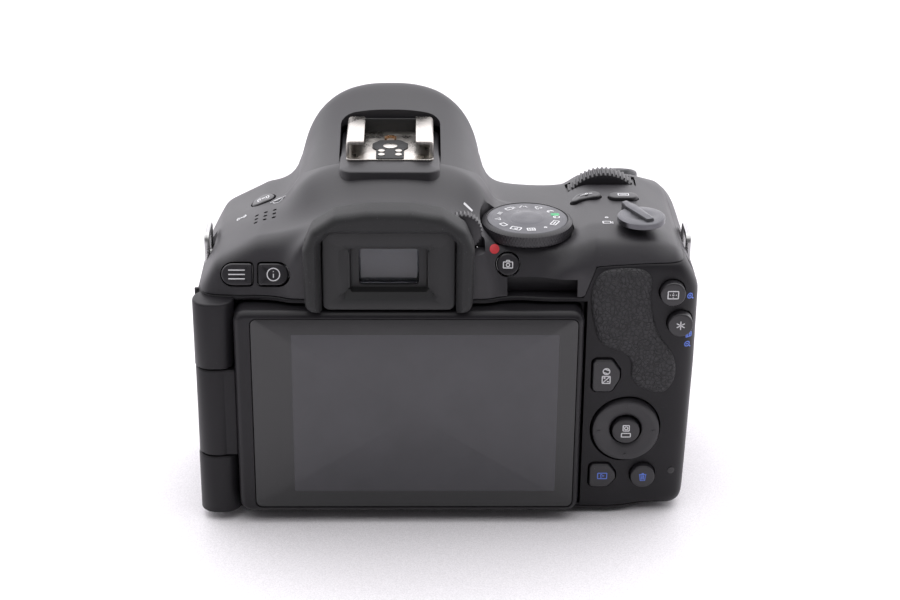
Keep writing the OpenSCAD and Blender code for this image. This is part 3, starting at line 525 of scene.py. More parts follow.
def chain(keys, step, fan=13.0):
    """Samples a chain of (x, y, degrees) about a step apart and closer at its ends. A pure turn counts
    as an arc of the fan's length. Gives x, y, the angle and the distance along the chain."""
    k = np.array(keys, float)
    lengths = np.maximum(np.hypot(*np.diff(k[:, :2], axis=0).T), np.abs(np.diff(k[:, 2])) / 90 * fan)
    at = np.concatenate([[0], np.cumsum(lengths)])
    body = [np.linspace(a, b, max(2, int((b - a) / step) + 1)) for a, b in zip(at[:-1], at[1:])]
    close = np.array([0.07, 0.16, 0.3, 0.5])
    s = np.unique(np.round(np.concatenate(body + [close, at[-1] - close]), 3))
    return np.interp(s, at, k[:, 0]), np.interp(s, at, k[:, 1]), np.radians(np.interp(s, at, k[:, 2])), s


def groove(s):
    """How far the surface draws in near a chain's ends: a quarter round."""
    near = np.clip(1 - np.minimum(s, s[-1] - s) / 0.45, 0, 1)
    return bpy.context.scene.camera_body_sizes.seam_groove / MM * (1 - np.sqrt(1 - near ** 2))


def wall_shell(keys, low, step, high=None, field=cover_field, lift=0.0, wall=WALL):
    """Upright shell: rays leave a chain level with the ground, from a low height up to the seam."""
    x, y, angle, s = chain(keys, step)
    rows = chain([(0, 0, 0), (57, 0, 0)], step)[3]
    top = (seam_height(x) - 0.03 if high is None else np.full(len(x), high))[:, None]
    share = rows[None] / rows[-1]
    z = low + (top - low) * share
    origin = np.stack([np.repeat(x[:, None], len(rows), 1), np.repeat(y[:, None], len(rows), 1), z], -1)
    flat = np.stack([np.cos(angle), np.sin(angle), 0 * angle], -1)
    direction = np.repeat(flat[:, None], len(rows), 1)
    tuck = np.maximum(groove(s)[:, None], groove(rows)[None])
    if lift:
        tuck = tuck * 2 - lift
    return shell(field, origin, direction, tuck, wall)


def crown_shell(up, step=0.85, field=cover_field, x_ends=(LEFT_CORE, RIGHT_CORE), y_ends=(-15, 14),
                base=None):
    """Shell that caps the walls: upright rays in the middle, and rays that lean out to level along the
    borders, so that the border is the walls' own edge."""
    x, _, turn_x, s = chain([(x_ends[0], 0, -90), (x_ends[0], 0, 0), (x_ends[1], 0, 0), (x_ends[1], 0, 90)],
                            step, 16)
    y, _, turn_y, t = chain([(y_ends[0], 0, -90), (y_ends[0], 0, 0), (y_ends[1], 0, 0), (y_ends[1], 0, 90)],
                            step, 26)
    x, turn_x = x[:, None], turn_x[:, None]
    y, turn_y = y[None], turn_y[None]
    if base is None:
        reach = y_ends[1] + 10 * ramp(x, 44, 54)
        y = y_ends[0] + (y - y_ends[0]) * (reach - y_ends[0]) / (y_ends[1] - y_ends[0])
        z = (seam_height(x) + 0.03 if up > 0 else 2.0 + 0 * x) + 0 * y
    else:
        z = base + 0 * x + 0 * y
    origin = np.stack([x + 0 * y, y + 0 * x, z], -1)
    direction = np.stack([np.sin(turn_x) + 0 * turn_y, np.sin(turn_y) + 0 * turn_x,
                          up * np.cos(turn_x) * np.cos(turn_y)], -1)
    direction /= np.linalg.norm(direction, axis=-1, keepdims=True)
    tuck = np.maximum(groove(s)[:, None], groove(t)[None])
    return shell(field, origin, direction, tuck)


def cutter(x, y, z, r=0.2):
    """Plain block for cutting, with small rounds at its upright edges."""
    outline = rounded_box(x[1] - x[0], y[1] - y[0], r, 4, ((x[0] + x[1]) / 2, (y[0] + y[1]) / 2))
    return stack(outline, [(0, z[0]), (0, z[1])], (0, 0, 0), UPWARD)


def drill(outline, at, axes, low, high, gap=0.3, lip=0.25):
    """Hole for a key: the key's outline with a gap, flared a little at its mouth."""
    return stack(outline, [(-gap, low), (-gap, -lip - 0.6), (-gap - lip * 0.3, -lip), (-gap - lip, high)],
                 at, axes)


def revolve_cut(r, at, axes, low, high, count=64):
    """Round cutter."""
    return lathe([(r, low), (r, high)], at, axes, count)


# Finishes -----------------------------------------------------------------------------------------
def add(tree, kind, inputs=None, **settings):
    """Node with its settings, and for each input a value or an incoming socket."""
    made = tree.nodes.new(kind)
    for key, value in settings.items():
        setattr(made, key, value)
    for key, value in (inputs or {}).items():
        if isinstance(value, bpy.types.NodeSocket):
            tree.links.new(value, made.inputs[key])
        else:
            made.inputs[key].default_value = value
    return made


def group(name, inputs, outputs, build):
    """Shader node group with named sockets, built once."""
    tree = bpy.data.node_groups.get(name)
    if tree is None:
        tree = bpy.data.node_groups.new(name, "ShaderNodeTree")
        for label, kind, value in inputs:
            socket = tree.interface.new_socket(label, in_out="INPUT", socket_type=kind)
            if value is not None:
                socket.default_value = value
        for label, kind in outputs:
            tree.interface.new_socket(label, in_out="OUTPUT", socket_type=kind)
        ends = tree.nodes.new("NodeGroupInput"), tree.nodes.new("NodeGroupOutput")
        for label, socket in build(tree, ends[0].outputs).items():
            tree.links.new(socket, ends[1].inputs[label])
    return tree


def build_grain(tree, given):
    """Moulded grain: small pebbles mixed with fine noise, and a slow drift of shade and polish."""
    pebbles = add(tree, "ShaderNodeTexVoronoi", {"Vector": given["Vector"], "Scale": given["Scale"]},
                  feature="SMOOTH_F1")
    fine = add(tree, "ShaderNodeTexNoise",
               {"Vector": given["Vector"], "Scale": given["Scale"], "Detail": 3.0})
    height = add(tree, "ShaderNodeMix", {"Factor": 0.45, "A": pebbles.outputs["Distance"],
                                        "B": fine.outputs["Fac"]})
    slow = add(tree, "ShaderNodeTexNoise", {"Vector": given["Vector"], "Scale": 46.0, "Detail": 4.0})
    speck = add(tree, "ShaderNodeTexNoise", {"Vector": given["Vector"], "Scale": 2600.0, "Detail": 1.0})
    dust = add(tree, "ShaderNodeMapRange",
               {"Value": speck.outputs["Fac"], "From Min": 0.68, "From Max": 0.8})
    return {"Height": height.outputs["Result"], "Drift": slow.outputs["Fac"],
            "Dust": dust.outputs["Result"]}


def build_leather(tree, given):
    """Leather grain: rounded cells with creases between them."""
    warp = add(tree, "ShaderNodeTexNoise", {"Vector": given["Vector"], "Scale": 420.0})
    shift = add(tree, "ShaderNodeVectorMath", {0: warp.outputs["Color"], 1: (0.0009, 0.0009, 0.0009)},
                operation="MULTIPLY")
    moved = add(tree, "ShaderNodeVectorMath", {0: given["Vector"], 1: shift.outputs[0]}, operation="ADD")
    cells = add(tree, "ShaderNodeTexVoronoi", {"Vector": moved.outputs[0], "Scale": given["Scale"]},
                feature="DISTANCE_TO_EDGE")
    crease = add(tree, "ShaderNodeMapRange", {"Value": cells.outputs["Distance"], "From Max": 0.16},
                 interpolation_type="SMOOTHSTEP")
    tint = add(tree, "ShaderNodeTexVoronoi", {"Vector": moved.outputs[0], "Scale": given["Scale"]})
    # The crease mask goes out twice: as Height for the bump, and on its own to darken the colour in
    # leather(), as painted shade.
    return {"Height": crease.outputs["Result"], "Crease_shade": crease.outputs["Result"],
            "Cell": tint.outputs["Distance"]}


def build_turned(tree, given):
    """Turned metal: fine rings round the vector's z axis, as a lathe leaves them, and light smears."""
    parts = add(tree, "ShaderNodeSeparateXYZ", {"Vector": given["Vector"]})
    flat = add(tree, "ShaderNodeCombineXYZ", {"X": parts.outputs["X"], "Y": parts.outputs["Y"]})
    radius = add(tree, "ShaderNodeVectorMath", {0: flat.outputs[0]}, operation="LENGTH")
    rings = add(tree, "ShaderNodeTexNoise",
                {"W": radius.outputs["Value"], "Scale": given["Scale"], "Detail": 2.0},
                noise_dimensions="1D")
    smear = add(tree, "ShaderNodeTexNoise", {"Vector": given["Vector"], "Scale": 300.0, "Detail": 3.0})
    return {"Rings": rings.outputs["Fac"], "Smear": smear.outputs["Fac"]}


def vector_of(tree, centre=(0, 0, 0), turn=(0, 0, 0)):
    """Object coordinates, moved and turned so that a pattern is centred on its piece."""
    place_of = add(tree, "ShaderNodeTexCoord")
    moved = add(tree, "ShaderNodeMapping", {"Vector": place_of.outputs["Object"],
                                           "Location": [-c * MM for c in centre]}, vector_type="POINT")
    if turn == (0, 0, 0):
        return moved.outputs["Vector"]
    return add(tree, "ShaderNodeMapping",
               {"Vector": moved.outputs["Vector"], "Rotation": turn}).outputs["Vector"]


def spread(tree, value, low, high, start=0.3, end=0.7):
    """Map of a varying value to a range."""
    return add(tree, "ShaderNodeMapRange", {"Value": value, "From Min": start, "From Max": end,
                                            "To Min": low, "To Max": high}).outputs["Result"]


def tones(tree, factor, dark, light):
    """Colour between two tones."""
    mix = add(tree, "ShaderNodeMix", {"Factor": factor}, data_type="RGBA")
    mix.inputs[6].default_value = (*dark, 1)
    mix.inputs[7].default_value = (*light, 1)
    return mix.outputs[2]


def blend_colours(tree, factor, first, second):
    """Colour between two colour sockets or tones."""
    mix = add(tree, "ShaderNodeMix", {"Factor": factor}, data_type="RGBA")
    for index, value in ((6, first), (7, second)):
        if isinstance(value, bpy.types.NodeSocket):
            tree.links.new(value, mix.inputs[index])
        else:
            mix.inputs[index].default_value = (*value, 1)
    return mix.outputs[2]


def surface(name, build):
    """Material made once from a function that returns values and sockets for the Principled shader."""
    made = bpy.data.materials.get(name)
    if made is None:
        made = bpy.data.materials.new(name)
        made.use_nodes = True
        tree = made.node_tree
        shader = tree.nodes["Principled BSDF"]
        for key, value in build(tree).items():
            if isinstance(value, bpy.types.NodeSocket):
                tree.links.new(value, shader.inputs[key])
            else:
                shader.inputs[key].default_value = value
    return made


def bump(tree, height, depth, strength=1.0):
    """Normal from a height in millimetres."""
    return add(tree, "ShaderNodeBump",
               {"Height": height, "Distance": depth * MM, "Strength": strength}).outputs[0]


def pattern(tree, name, values, build, vector, scale):
    """Node of a pattern's group, given its vector and scale, with one output for each of its values."""
    inputs = [("Vector", "NodeSocketVector", None), ("Scale", "NodeSocketFloat", 3000.0)]
    made = group(name, inputs, [(value, "NodeSocketFloat") for value in values], build)
    node = add(tree, "ShaderNodeGroup", node_tree=made)
    tree.links.new(vector, node.inputs["Vector"])
    node.inputs["Scale"].default_value = scale
    return node.outputs


def plastic(name, colour, rough=0.46, scale=3000.0, depth=0.02, dusty=0.02, gloss=0.5):
    """Moulded plastic: fine grain, a slow change of shade and polish, and a few specks of dust."""
    def build(tree):
        grain = pattern(tree, "Moulded grain", ("Height", "Drift", "Dust"), build_grain, vector_of(tree),
                        scale)
        base = tones(tree, spread(tree, grain["Drift"], 0, 1), [c * 0.82 for c in colour],
                     [c * 1.18 for c in colour])
        dust = add(tree, "ShaderNodeMath", {0: grain["Dust"], 1: dusty}, operation="MULTIPLY")
        return {"Base Color": blend_colours(tree, dust.outputs[0], base, (0.4, 0.4, 0.42)),
                "Roughness": spread(tree, grain["Drift"], rough - 0.05, rough + 0.05),
                "Normal": bump(tree, grain["Height"], depth), "Specular IOR Level": gloss}
    return surface(name, build)


def leather(name, colour, scale=850.0, depth=0.16, rough=0.62):
    """Rubber skin with a leather grain, and painted shade that darkens its creases."""
    def build(tree):
        grain = pattern(tree, "Leather grain", ("Height", "Crease_shade", "Cell"), build_leather, vector_of(tree),
                        scale)
        # Painted shade: in the creases the colour darkens to 0.45 of the skin's colour.
        return {"Base Color": tones(tree, grain["Crease_shade"], [c * 0.45 for c in colour], colour),
                "Roughness": spread(tree, grain["Cell"], rough - 0.08, rough + 0.08, 0, 0.6),
                "Normal": bump(tree, grain["Height"], depth)}
    return surface(name, build)


def metal(name, colour, rough=0.3, scale=5200.0, centre=(0, 0, 0), turn=(0, 0, 0), contrast=0.3):
    """Turned or plated metal with fine rings and smears."""
    def build(tree):
        rings = pattern(tree, "Turned metal", ("Rings", "Smear"), build_turned,
                        vector_of(tree, centre, turn), scale)
        return {"Base Color": tones(tree, spread(tree, rings["Rings"], 0, 1),
                                    [c * (1 - contrast) for c in colour], colour),
                "Roughness": spread(tree, rings["Smear"], rough - 0.08, rough + 0.1),
                "Normal": bump(tree, rings["Rings"], 0.01), "Metallic": 1.0}
    return surface(name, build)


def mark(name, colour, rough=0.5):
    """Printed ink: thin and a little uneven."""
    def build(tree):
        uneven = add(tree, "ShaderNodeTexNoise",
                     {"Vector": vector_of(tree), "Scale": 3500.0, "Detail": 2.0})
        return {"Base Color": tones(tree, spread(tree, uneven.outputs["Fac"], 0, 1),
                                    [c * 0.8 for c in colour], colour),
                "Roughness": spread(tree, uneven.outputs["Fac"], rough - 0.05, rough + 0.1)}
    return surface(name, build)


def display_pane(name):
    """Dark pane over the display: the lit area behind it is a little lighter and bluer, and wiping has
    left faint smears in its polish."""
    def build(tree):
        vector = vector_of(tree, (8.6, 0, 30.2))
        parts = add(tree, "ShaderNodeSeparateXYZ", {"Vector": vector})
        masks = []
        for axis, half in (("X", 31.75), ("Z", 21.17)):
            size = add(tree, "ShaderNodeMath", {0: parts.outputs[axis]}, operation="ABSOLUTE").outputs[0]
            masks.append(add(tree, "ShaderNodeMapRange", {"Value": size, "From Min": (half + 0.05) * MM,
                                                          "From Max": (half - 0.05) * MM}).outputs["Result"])
        inside = add(tree, "ShaderNodeMath", {0: masks[0], 1: masks[1]}, operation="MULTIPLY").outputs[0]
        smear = add(tree, "ShaderNodeTexNoise", {"Vector": vector, "Scale": 70.0, "Detail": 5.0})
        area = tones(tree, spread(tree, smear.outputs["Fac"], 0, 1), (0.026, 0.0255, 0.031),
                     (0.034, 0.0335, 0.040))
        return {"Base Color": blend_colours(tree, inside, (0.006, 0.006, 0.007), area),
                "Roughness": spread(tree, smear.outputs["Fac"], 0.1, 0.2), "Coat Weight": 0.25,
                "Coat Roughness": 0.05}
    return surface(name, build)


def glass(name, tint=(0.9, 0.92, 0.95)):
    """Coated optical glass with faint wiping marks."""
    def build(tree):
        smear = add(tree, "ShaderNodeTexNoise", {"Vector": vector_of(tree), "Scale": 220.0, "Detail": 4.0})
        return {"Base Color": tones(tree, spread(tree, smear.outputs["Fac"], 0, 1),
                                    [c * 0.96 for c in tint], tint),
                "Roughness": spread(tree, smear.outputs["Fac"], 0.02, 0.07), "Transmission Weight": 0.9,
                "IOR": 1.5}
    return surface(name, build)


def finish_for(name):
    """The finishes by name."""
    looks = bpy.context.scene.camera_body_colours
    grey = tuple(looks.body_colour)
    # dark is the body colour at 0.6, as painted shade: the rear and housing finishes below are a darker copy
    # of the same plastic for the rear-facing, underside and display faces that lie in shade.
    dark = tuple(c * 0.6 for c in grey)
    table = {
        "body": lambda: plastic("Satin charcoal plastic", grey, 0.45, 3200, 0.02),
        "rear": lambda: plastic("Shaded rear charcoal plastic", dark, 0.42, 3200, 0.016, gloss=0.22),
        "housing": lambda: plastic("Shaded display housing plastic", dark, 0.36, 3600, 0.01, gloss=0.24),
        "gloss": lambda: plastic("Smooth black plastic", tuple(c * 0.5 for c in grey), 0.22, 3600, 0.004),
        "key": lambda: plastic("Key plastic", tuple(c * 0.8 for c in grey), 0.36, 3600, 0.008),
        "inside": lambda: plastic("Inner black plastic", (0.012, 0.012, 0.013), 0.6, 2600, 0.02),
        "rubber": lambda: plastic("Eyecup rubber", tuple(looks.rubber_colour), 0.6, 2600, 0.03, 0.1, 0.3),
        "skin": lambda: leather("Grip skin", tuple(looks.grip_colour)),
        "pad": lambda: leather("Thumb rest skin", tuple(looks.grip_colour), 1000.0, 0.14),
        "mount": lambda: metal("Mount steel", (0.72, 0.71, 0.7), 0.24, 4200, (0, 0, AXIS_Z),
                               (math.pi / 2, 0, 0), 0.12),
        "shoe": lambda: metal("Shoe nickel", (0.62, 0.59, 0.55), 0.3, 3000, (0, 10, 0), (0, 0, 0), 0.2),
        "screw": lambda: metal("Screw steel", (0.5, 0.5, 0.5), 0.3),
        "dial_top": lambda: metal("Mode dial top", tuple(looks.dial_colour), 0.34, 6500, MODE_DIAL_AT,
                                  (0, 0, 0), 0.35),
        "switch": lambda: metal("Power switch metal", (0.13, 0.13, 0.14), 0.36, 5200, SWITCH_AT),
        "button": lambda: metal("Shutter button metal", (0.12, 0.12, 0.125), 0.3, 5200, (58, 27, 0)),
        "dial": lambda: plastic("Dial plastic", tuple(c * 0.9 for c in grey), 0.4, 4200, 0.01),
        "black_metal": lambda: metal("Blackened metal", (0.035, 0.035, 0.037), 0.45),
        "mirror": lambda: metal("Mirror silver", (0.9, 0.9, 0.9), 0.1, 800, contrast=0.04),
        "copper": lambda: metal("Copper spring", (0.75, 0.45, 0.25), 0.3),
        "gold": lambda: metal("Contact gold", (0.85, 0.66, 0.3), 0.25),
        "frame_metal": lambda: metal("Frame aluminium", (0.6, 0.6, 0.6), 0.4),
        "board": lambda: plastic("Board green", (0.02, 0.11, 0.05), 0.4, 900, 0.03),
        "battery": lambda: plastic("Battery plastic", (0.06, 0.06, 0.065), 0.4),
        "card": lambda: plastic("Card plastic", (0.03, 0.05, 0.12), 0.4),
        "optic": lambda: glass("Optical glass", (0.35, 0.36, 0.4)),
        "sensor": lambda: glass("Sensor filter", (0.35, 0.5, 0.5)),
        "flash_lens": lambda: glass("Flash lens", (0.92, 0.9, 0.85)),
        "pane": lambda: display_pane("Display pane"),
        "white_mark": lambda: mark("White ink", (0.72, 0.72, 0.74)),
        "blue_mark": lambda: mark("Blue ink", (0.12, 0.22, 0.75)),
        "red_mark": lambda: mark("Red ink", (0.55, 0.03, 0.04)),
        "green_mark": lambda: mark("Green ink", (0.05, 0.4, 0.16)),
        "dark_mark": lambda: mark("Dark ink", (0.02, 0.02, 0.022)),
    }
    return table[name]()


# Marks: generic signs drawn as lines, in a unit of one millimetre --------------------------------
def arc(centre, r, start=0, end=360, count=22):
    """Points on an arc, angles in degrees."""
    t = np.radians(np.linspace(start, end, count))
    return np.column_stack([centre[0] + r * np.cos(t), centre[1] + r * np.sin(t)])


def sign(name):
    """Strokes of a sign: (points, closed)."""
    box = lambda w, h, cx=0.0, cy=0.0: (subdivide(rounded_box(w, h, 0.12, 2, (cx, cy)), 0.4), True)
    ring = lambda r, cx=0.0, cy=0.0: (circle(r, 20, (cx, cy)), True)
    line = lambda *p: (np.array(p, float), False)
    table = {
        "bars": [line((-1.7, 0.9), (1.7, 0.9)), line((-1.7, 0), (1.7, 0)), line((-1.7, -0.9), (1.7, -0.9))],
        "about": [ring(1.35), line((0, -0.7), (0, 0.15)), line((0, 0.55), (0, 0.72))],
        "camera": [box(2.3, 1.5, 0, -0.15), box(0.8, 0.35, 0, 0.8), ring(0.42, 0, -0.15)],
        "exposure": [box(2.0, 2.0, 0, -1.0), line((-0.9, -1.9), (0.9, -0.1)),
                     line((-0.75, -0.45), (-0.15, -0.45)),
                     line((-0.45, -0.75), (-0.45, -0.15)), line((0.2, -1.5), (0.75, -1.5)),
                     ring(0.85, 0, 1.35), line((-0.4, 2.0), (0.75, 1.6)), line((0.4, 0.7), (-0.75, 1.1))],
        "play": [box(2.5, 1.7), line((-0.4, 0.5), (0.5, 0), (-0.4, -0.5), (-0.4, 0.5))],
        "bin": [line((-1.0, 0.75), (1.0, 0.75)), line((-0.8, 0.7), (-0.6, -1.1), (0.6, -1.1), (0.8, 0.7)),
                line((-0.3, 1.05), (0.3, 1.05)), line((-0.2, 0.5), (-0.2, -0.8)),
                line((0.2, 0.5), (0.2, -0.8))],
        "star": [line((-1.05, -0.6), (1.05, 0.6)), line((-1.05, 0.6), (1.05, -0.6)),
                 line((0, -1.2), (0, 1.2))],
        "focus": [box(2.6, 2.0), line((-0.25, 0), (0.25, 0)), line((-0.85, 0), (-0.65, 0)),
                  line((0.65, 0), (0.85, 0)), line((0, 0.45), (0, 0.62)), line((0, -0.45), (0, -0.62))],
        "closer": [ring(0.8, 0, 0.2), line((-0.4, 0.2), (0.4, 0.2)), line((0, -0.2), (0, 0.6)),
                   line((0.6, -0.4), (1.2, -1.1))],
        "further": [ring(0.8, 0, 0.2), line((-0.4, 0.2), (0.4, 0.2)), line((0.6, -0.4), (1.2, -1.1))],
        "grid": [box(1.9, 1.5), line((-0.32, -0.7), (-0.32, 0.7)), line((0.32, -0.7), (0.32, 0.7)),
                 line((-0.9, 0), (0.9, 0))],
        "quick": [box(1.5, 1.5, 0, 0.9), ring(0.4, 0, 0.9), box(2.2, 1.0, 0, -1.0)],
        "wireless": [ring(0.3), (arc((0, 0), 0.95, 130, 230), False), (arc((0, 0), 0.95, -50, 50), False),
                     (arc((0, 0), 1.55, 135, 225), False), (arc((0, 0), 1.55, -45, 45), False)],
        "tick": [line((-0.9, 0), (0.9, 0))],
        "dot": [ring(0.3)],
        "scale": [line((-2.4, 0), (-0.9, 0)), line((0.6, 0), (2.0, 0)), line((1.3, -0.7), (1.3, 0.7)),
                  line((-0.2, -0.5), (-0.2, 0.5))],
        "gauge": [line((-1.6, 0), (-0.7, 0)), ring(0.35), line((0.7, 0), (1.6, 0))],
        "panel": [box(2.8, 1.4), line((-0.9, 0), (0.9, 0))],
        "film": [box(1.9, 1.2), line((1.0, -0.2), (1.5, 0.4), (1.5, -0.8), (1.0, -0.2))],
        "moon": [(arc((0, 0), 0.8, 60, 300), False), (arc((0.45, 0), 0.75, 110, 250), False)],
        "hill": [line((-1, -0.5), (-0.3, 0.7), (0.2, 0), (0.5, 0.4), (1, -0.5))],
        "flower": [ring(0.3), ring(0.32, 0.55, 0.2), ring(0.32, -0.55, 0.2), ring(0.32, 0, -0.6)],
        "face": [ring(0.75), line((-0.3, -0.3), (0.3, -0.3))],
        "frame": [box(1.7, 1.3)],
        "wedge": [line((-0.7, -0.6), (0, 0.7), (0.7, -0.6), (-0.7, -0.6))],
        "stripe": [line((-0.6, -0.5), (-0.6, 0.5)), line((0, -0.5), (0, 0.5)),
                   line((0.6, -0.5), (0.6, 0.5))],
    }
    return table[name]


def print_sign(name, at, axes, size=1.0, width=0.2, height=0.05, field=None, turn=0.0):
    """A sign as a list of raised lines."""
    c, s = math.cos(turn), math.sin(turn)
    u, v, n = axes
    turned = (u * c + v * s, v * c - u * s, n)
    return [ribbon(p * size, width, at, turned, height, closed, 0.25, field) for p, closed in sign(name)]


def round_polygon(points, r, steps=6):
    """Polygon outline whose convex corners are arcs of radius r."""
    p = wound(points)
    out = []
    for a, b, c in zip(np.roll(p, 1, 0), p, np.roll(p, -1, 0)):
        u, v = (a - b) / np.linalg.norm(a - b), (c - b) / np.linalg.norm(c - b)
        half = math.acos(float(np.clip(u.dot(v), -1, 1))) / 2
        centre = b + (u + v) / np.linalg.norm(u + v) * r / math.sin(half)
        start = b + u * r / math.tan(half) - centre
        turn = math.pi - 2 * half
        if u[0] * v[1] - u[1] * v[0] > 0:
            turn = -turn
        for t in np.linspace(0, turn, steps + 1):
            out.append(centre + [start[0] * math.cos(t) - start[1] * math.sin(t),
                                 start[0] * math.sin(t) + start[1] * math.cos(t)])
    return np.array(out)


def tablet(w, h, side):
    """Outline with one round end and, at the other, two small round corners."""
    r, small = h / 2, 0.7
    parts = [arc((w / 2 - r, 0), r, -90, 90, 17), arc((small - w / 2, h / 2 - small), small, 90, 180, 6),
             arc((small - w / 2, small - h / 2), small, 180, 270, 6)]
    return np.concatenate(parts) * (side, 1)


def lean_at(x, z):
    """Point on the leaning rear face."""
    return np.array([x, REAR_Y + 5 * (z - 57) / 13, z])


def slope_at(x, y):
    """Point on the slope over the grip."""
    return np.array([x, y, 74.5 - 8.5 * (y - 20) / 14])


QUARTER = [(-0.5, -0.5), (0.22, -0.5), (0.5, -0.1), (0.5, 0.15), (0.2, 0.5), (-0.5, 0.5)]
PILL = rounded_box(7.2, 3.8, 1.9, 10)
KEYS = {
    "menu": ("menu_key", tablet(7.2, 5.2, -1), lean_at(-36, 63.9), LEANING, "bars"),
    "info": ("info_key", tablet(7.2, 5.2, 1), lean_at(-27.3, 63.9), LEANING, "about"),
    "live_view": ("live_view_key", circle(2.65, 40), lean_at(28.1, 66.2), LEANING, "camera"),
    "focus_point": ("focus_point_key", circle(3, 44), (67.2, REAR_Y, 60.2), REARWARD, "focus"),
    "exposure_lock": ("exposure_lock_key", circle(3, 44), (69.4, REAR_Y, 52.2), REARWARD, "star"),
    "exposure": ("exposure_key", round_polygon(np.array(QUARTER) * (6.6, 8.6), 1.2), (52.2, REAR_Y, 38.7),
                 REARWARD, "exposure"),
    "playback": ("playback_key", round_polygon(np.array(QUARTER) * (6.4, -6.4), 1.2), (52.3, REAR_Y, 11.2),
                 REARWARD, "play"),
    "erase": ("erase_key", circle(3, 44), (62.3, REAR_Y, 10.9), REARWARD, "bin"),
    "iso": ("iso_key", PILL, (48.3, 4.4, 74.5), UPWARD, "gauge"),
    "display_mode": ("display_mode_key", PILL, (57.4, 3.6, 74.5), UPWARD, "panel"),
    "wireless": ("wireless_key", circle(2.8, 40), (-31.5, 7.5, 71.5), UPWARD, "wireless"),
}
REAR_KEYS = ("focus_point", "exposure_lock", "exposure", "playback", "erase")
TOP_KEYS = ("menu", "info", "live_view", "iso", "display_mode", "wireless")
LUG_POCKETS = [cutter((-52, -42.7), (-6.2, 6.2), (58.2, 69.5), 2.0),
               cutter((71.3, 80), (-6.2, 6.2), (57.4, 68.6), 2.0)]


def key_holes(names):
    """Cutters for the keys that stand in a cover."""
    return [drill(KEYS[n][1], KEYS[n][2], KEYS[n][3], -6, 4) for n in names]


def paint(node, look):
    """Gives a CAD node's object a finish."""
    item = frame["nodes"][node]
    item.data.materials.clear()
    item.data.materials.append(finish_for(look))


class CameraBodySizes(bpy.types.PropertyGroup):
    """Sizes that a user may change without moving a mount or a joint."""
    seam_groove: FloatProperty(name="Seam groove", description="Depth of the groove where two covers meet",
                               default=0.0003, min=0, max=0.001, subtype="DISTANCE", unit="LENGTH")
    key_proud: FloatProperty(name="Key height", description="How far the keys stand out of the covers",
                             default=0.0009, min=0.0003, max=0.0015, subtype="DISTANCE", unit="LENGTH")
    ink_width: FloatProperty(name="Ink width", description="Width of the lines of the printed signs",
                             default=0.00024, min=0.0001, max=0.0005, subtype="DISTANCE", unit="LENGTH")


class CameraBodyColours(bpy.types.PropertyGroup):
    """Colours of the main finishes, linear."""
    body_colour: FloatVectorProperty(name="Body", description="Colour of the moulded covers",
                                     subtype="COLOR", default=(0.0215, 0.020, 0.0235), min=0, max=1)
    grip_colour: FloatVectorProperty(name="Grip skin",
                                     description="Colour of the grip's and thumb rest's skin",
                                     subtype="COLOR", default=(0.023, 0.022, 0.025), min=0, max=1)
    rubber_colour: FloatVectorProperty(name="Eyecup", description="Colour of the eyecup's rubber",
                                       subtype="COLOR", default=(0.019, 0.019, 0.02), min=0, max=1)
    dial_colour: FloatVectorProperty(name="Mode dial", description="Colour of the mode dial's metal top",
                                     subtype="COLOR", default=(0.11, 0.11, 0.12), min=0, max=1)


class CameraBodyLight(bpy.types.PropertyGroup):
    """Strength of the studio lights."""
    top_power: FloatProperty(name="Top light", description="Power of the large soft light above",
                             default=12.0, min=0, max=50, unit="POWER")
    side_power: FloatProperty(name="Side light", description="Power of each side light", default=0.6, min=0,
                              max=50, unit="POWER")
    surround: FloatProperty(name="Surround", description="Brightness of the room around", default=2.1,
                            min=0, max=5)


class CAMERA_BODY_OT_rear_cover(bpy.types.Operator):
    """Rear cover: the display's recess, the hinge columns and the holes of the rear keys."""
    bl_idname = "camera_body.rear_cover"
    bl_label = "Rear cover"

    def execute(self, context):
        wall = wall_shell([(LEFT_CORE, -13.03, 180), (LEFT_CORE, -15, 180), (LEFT_CORE, -15, 270),
                           (RIGHT_CORE, -15, 270), (RIGHT_CORE, -15, 360), (RIGHT_CORE, -13.03, 360)], 2.03,
                          0.95, wall=3.0)
        cuts = [cutter((-60, 47.1), (-40, -19.6), (1.0, 58.1), 2.6),
                cutter((-60, -36.8), (-40, -17.8), (1.0, 58.1))]
        cuts += key_holes(REAR_KEYS)
        cuts.append(drill(circle(8.3, 64), CROSS_AT, REARWARD, -6, 4, 0.35, 0.5))
        cuts += [cutter((71.3, 80), (-16, 6.2), (57.4, 68.6), 2.0)]
        tray = [slab((-37.0, 48.5), (-19.6, -18.1), (2.1, 58.6), 0.2),
                slab((-36.8, 48.2), (-23.0, -18.1), (58.15, 58.8), 0.2),
                slab((47.15, 48.4), (-22.6, -18.1), (2.1, 58.7), 0.2),
                slab((-36.8, 48.2), (-23.4, -18.1), (2.05, 2.7), 0.2),
                slab((-46.6, -36.4), (-17.7, -16.8), (2.1, 58.6), 0.2),
                slab((-37.0, -36.3), (-18.4, -16.8), (2.1, 58.6), 0.1)]
        column = rounded_box(9.9, 9.1, 4.2, 9, (-41.75, -22.5))
        for low, high in ((2.05, 17.75), (41.45, 58.5)):
            tray.append(stack(column, soft_rows(low, high, 0.5, 0.35), (0, 0, 0), UPWARD))
        finish("rear_cover_shell", [wall], "body", finish_for("rear"), ["rear_cover"], cuts)
        finish("display_tray", tray, "body", finish_for("rear"), ())
        return {"FINISHED"}


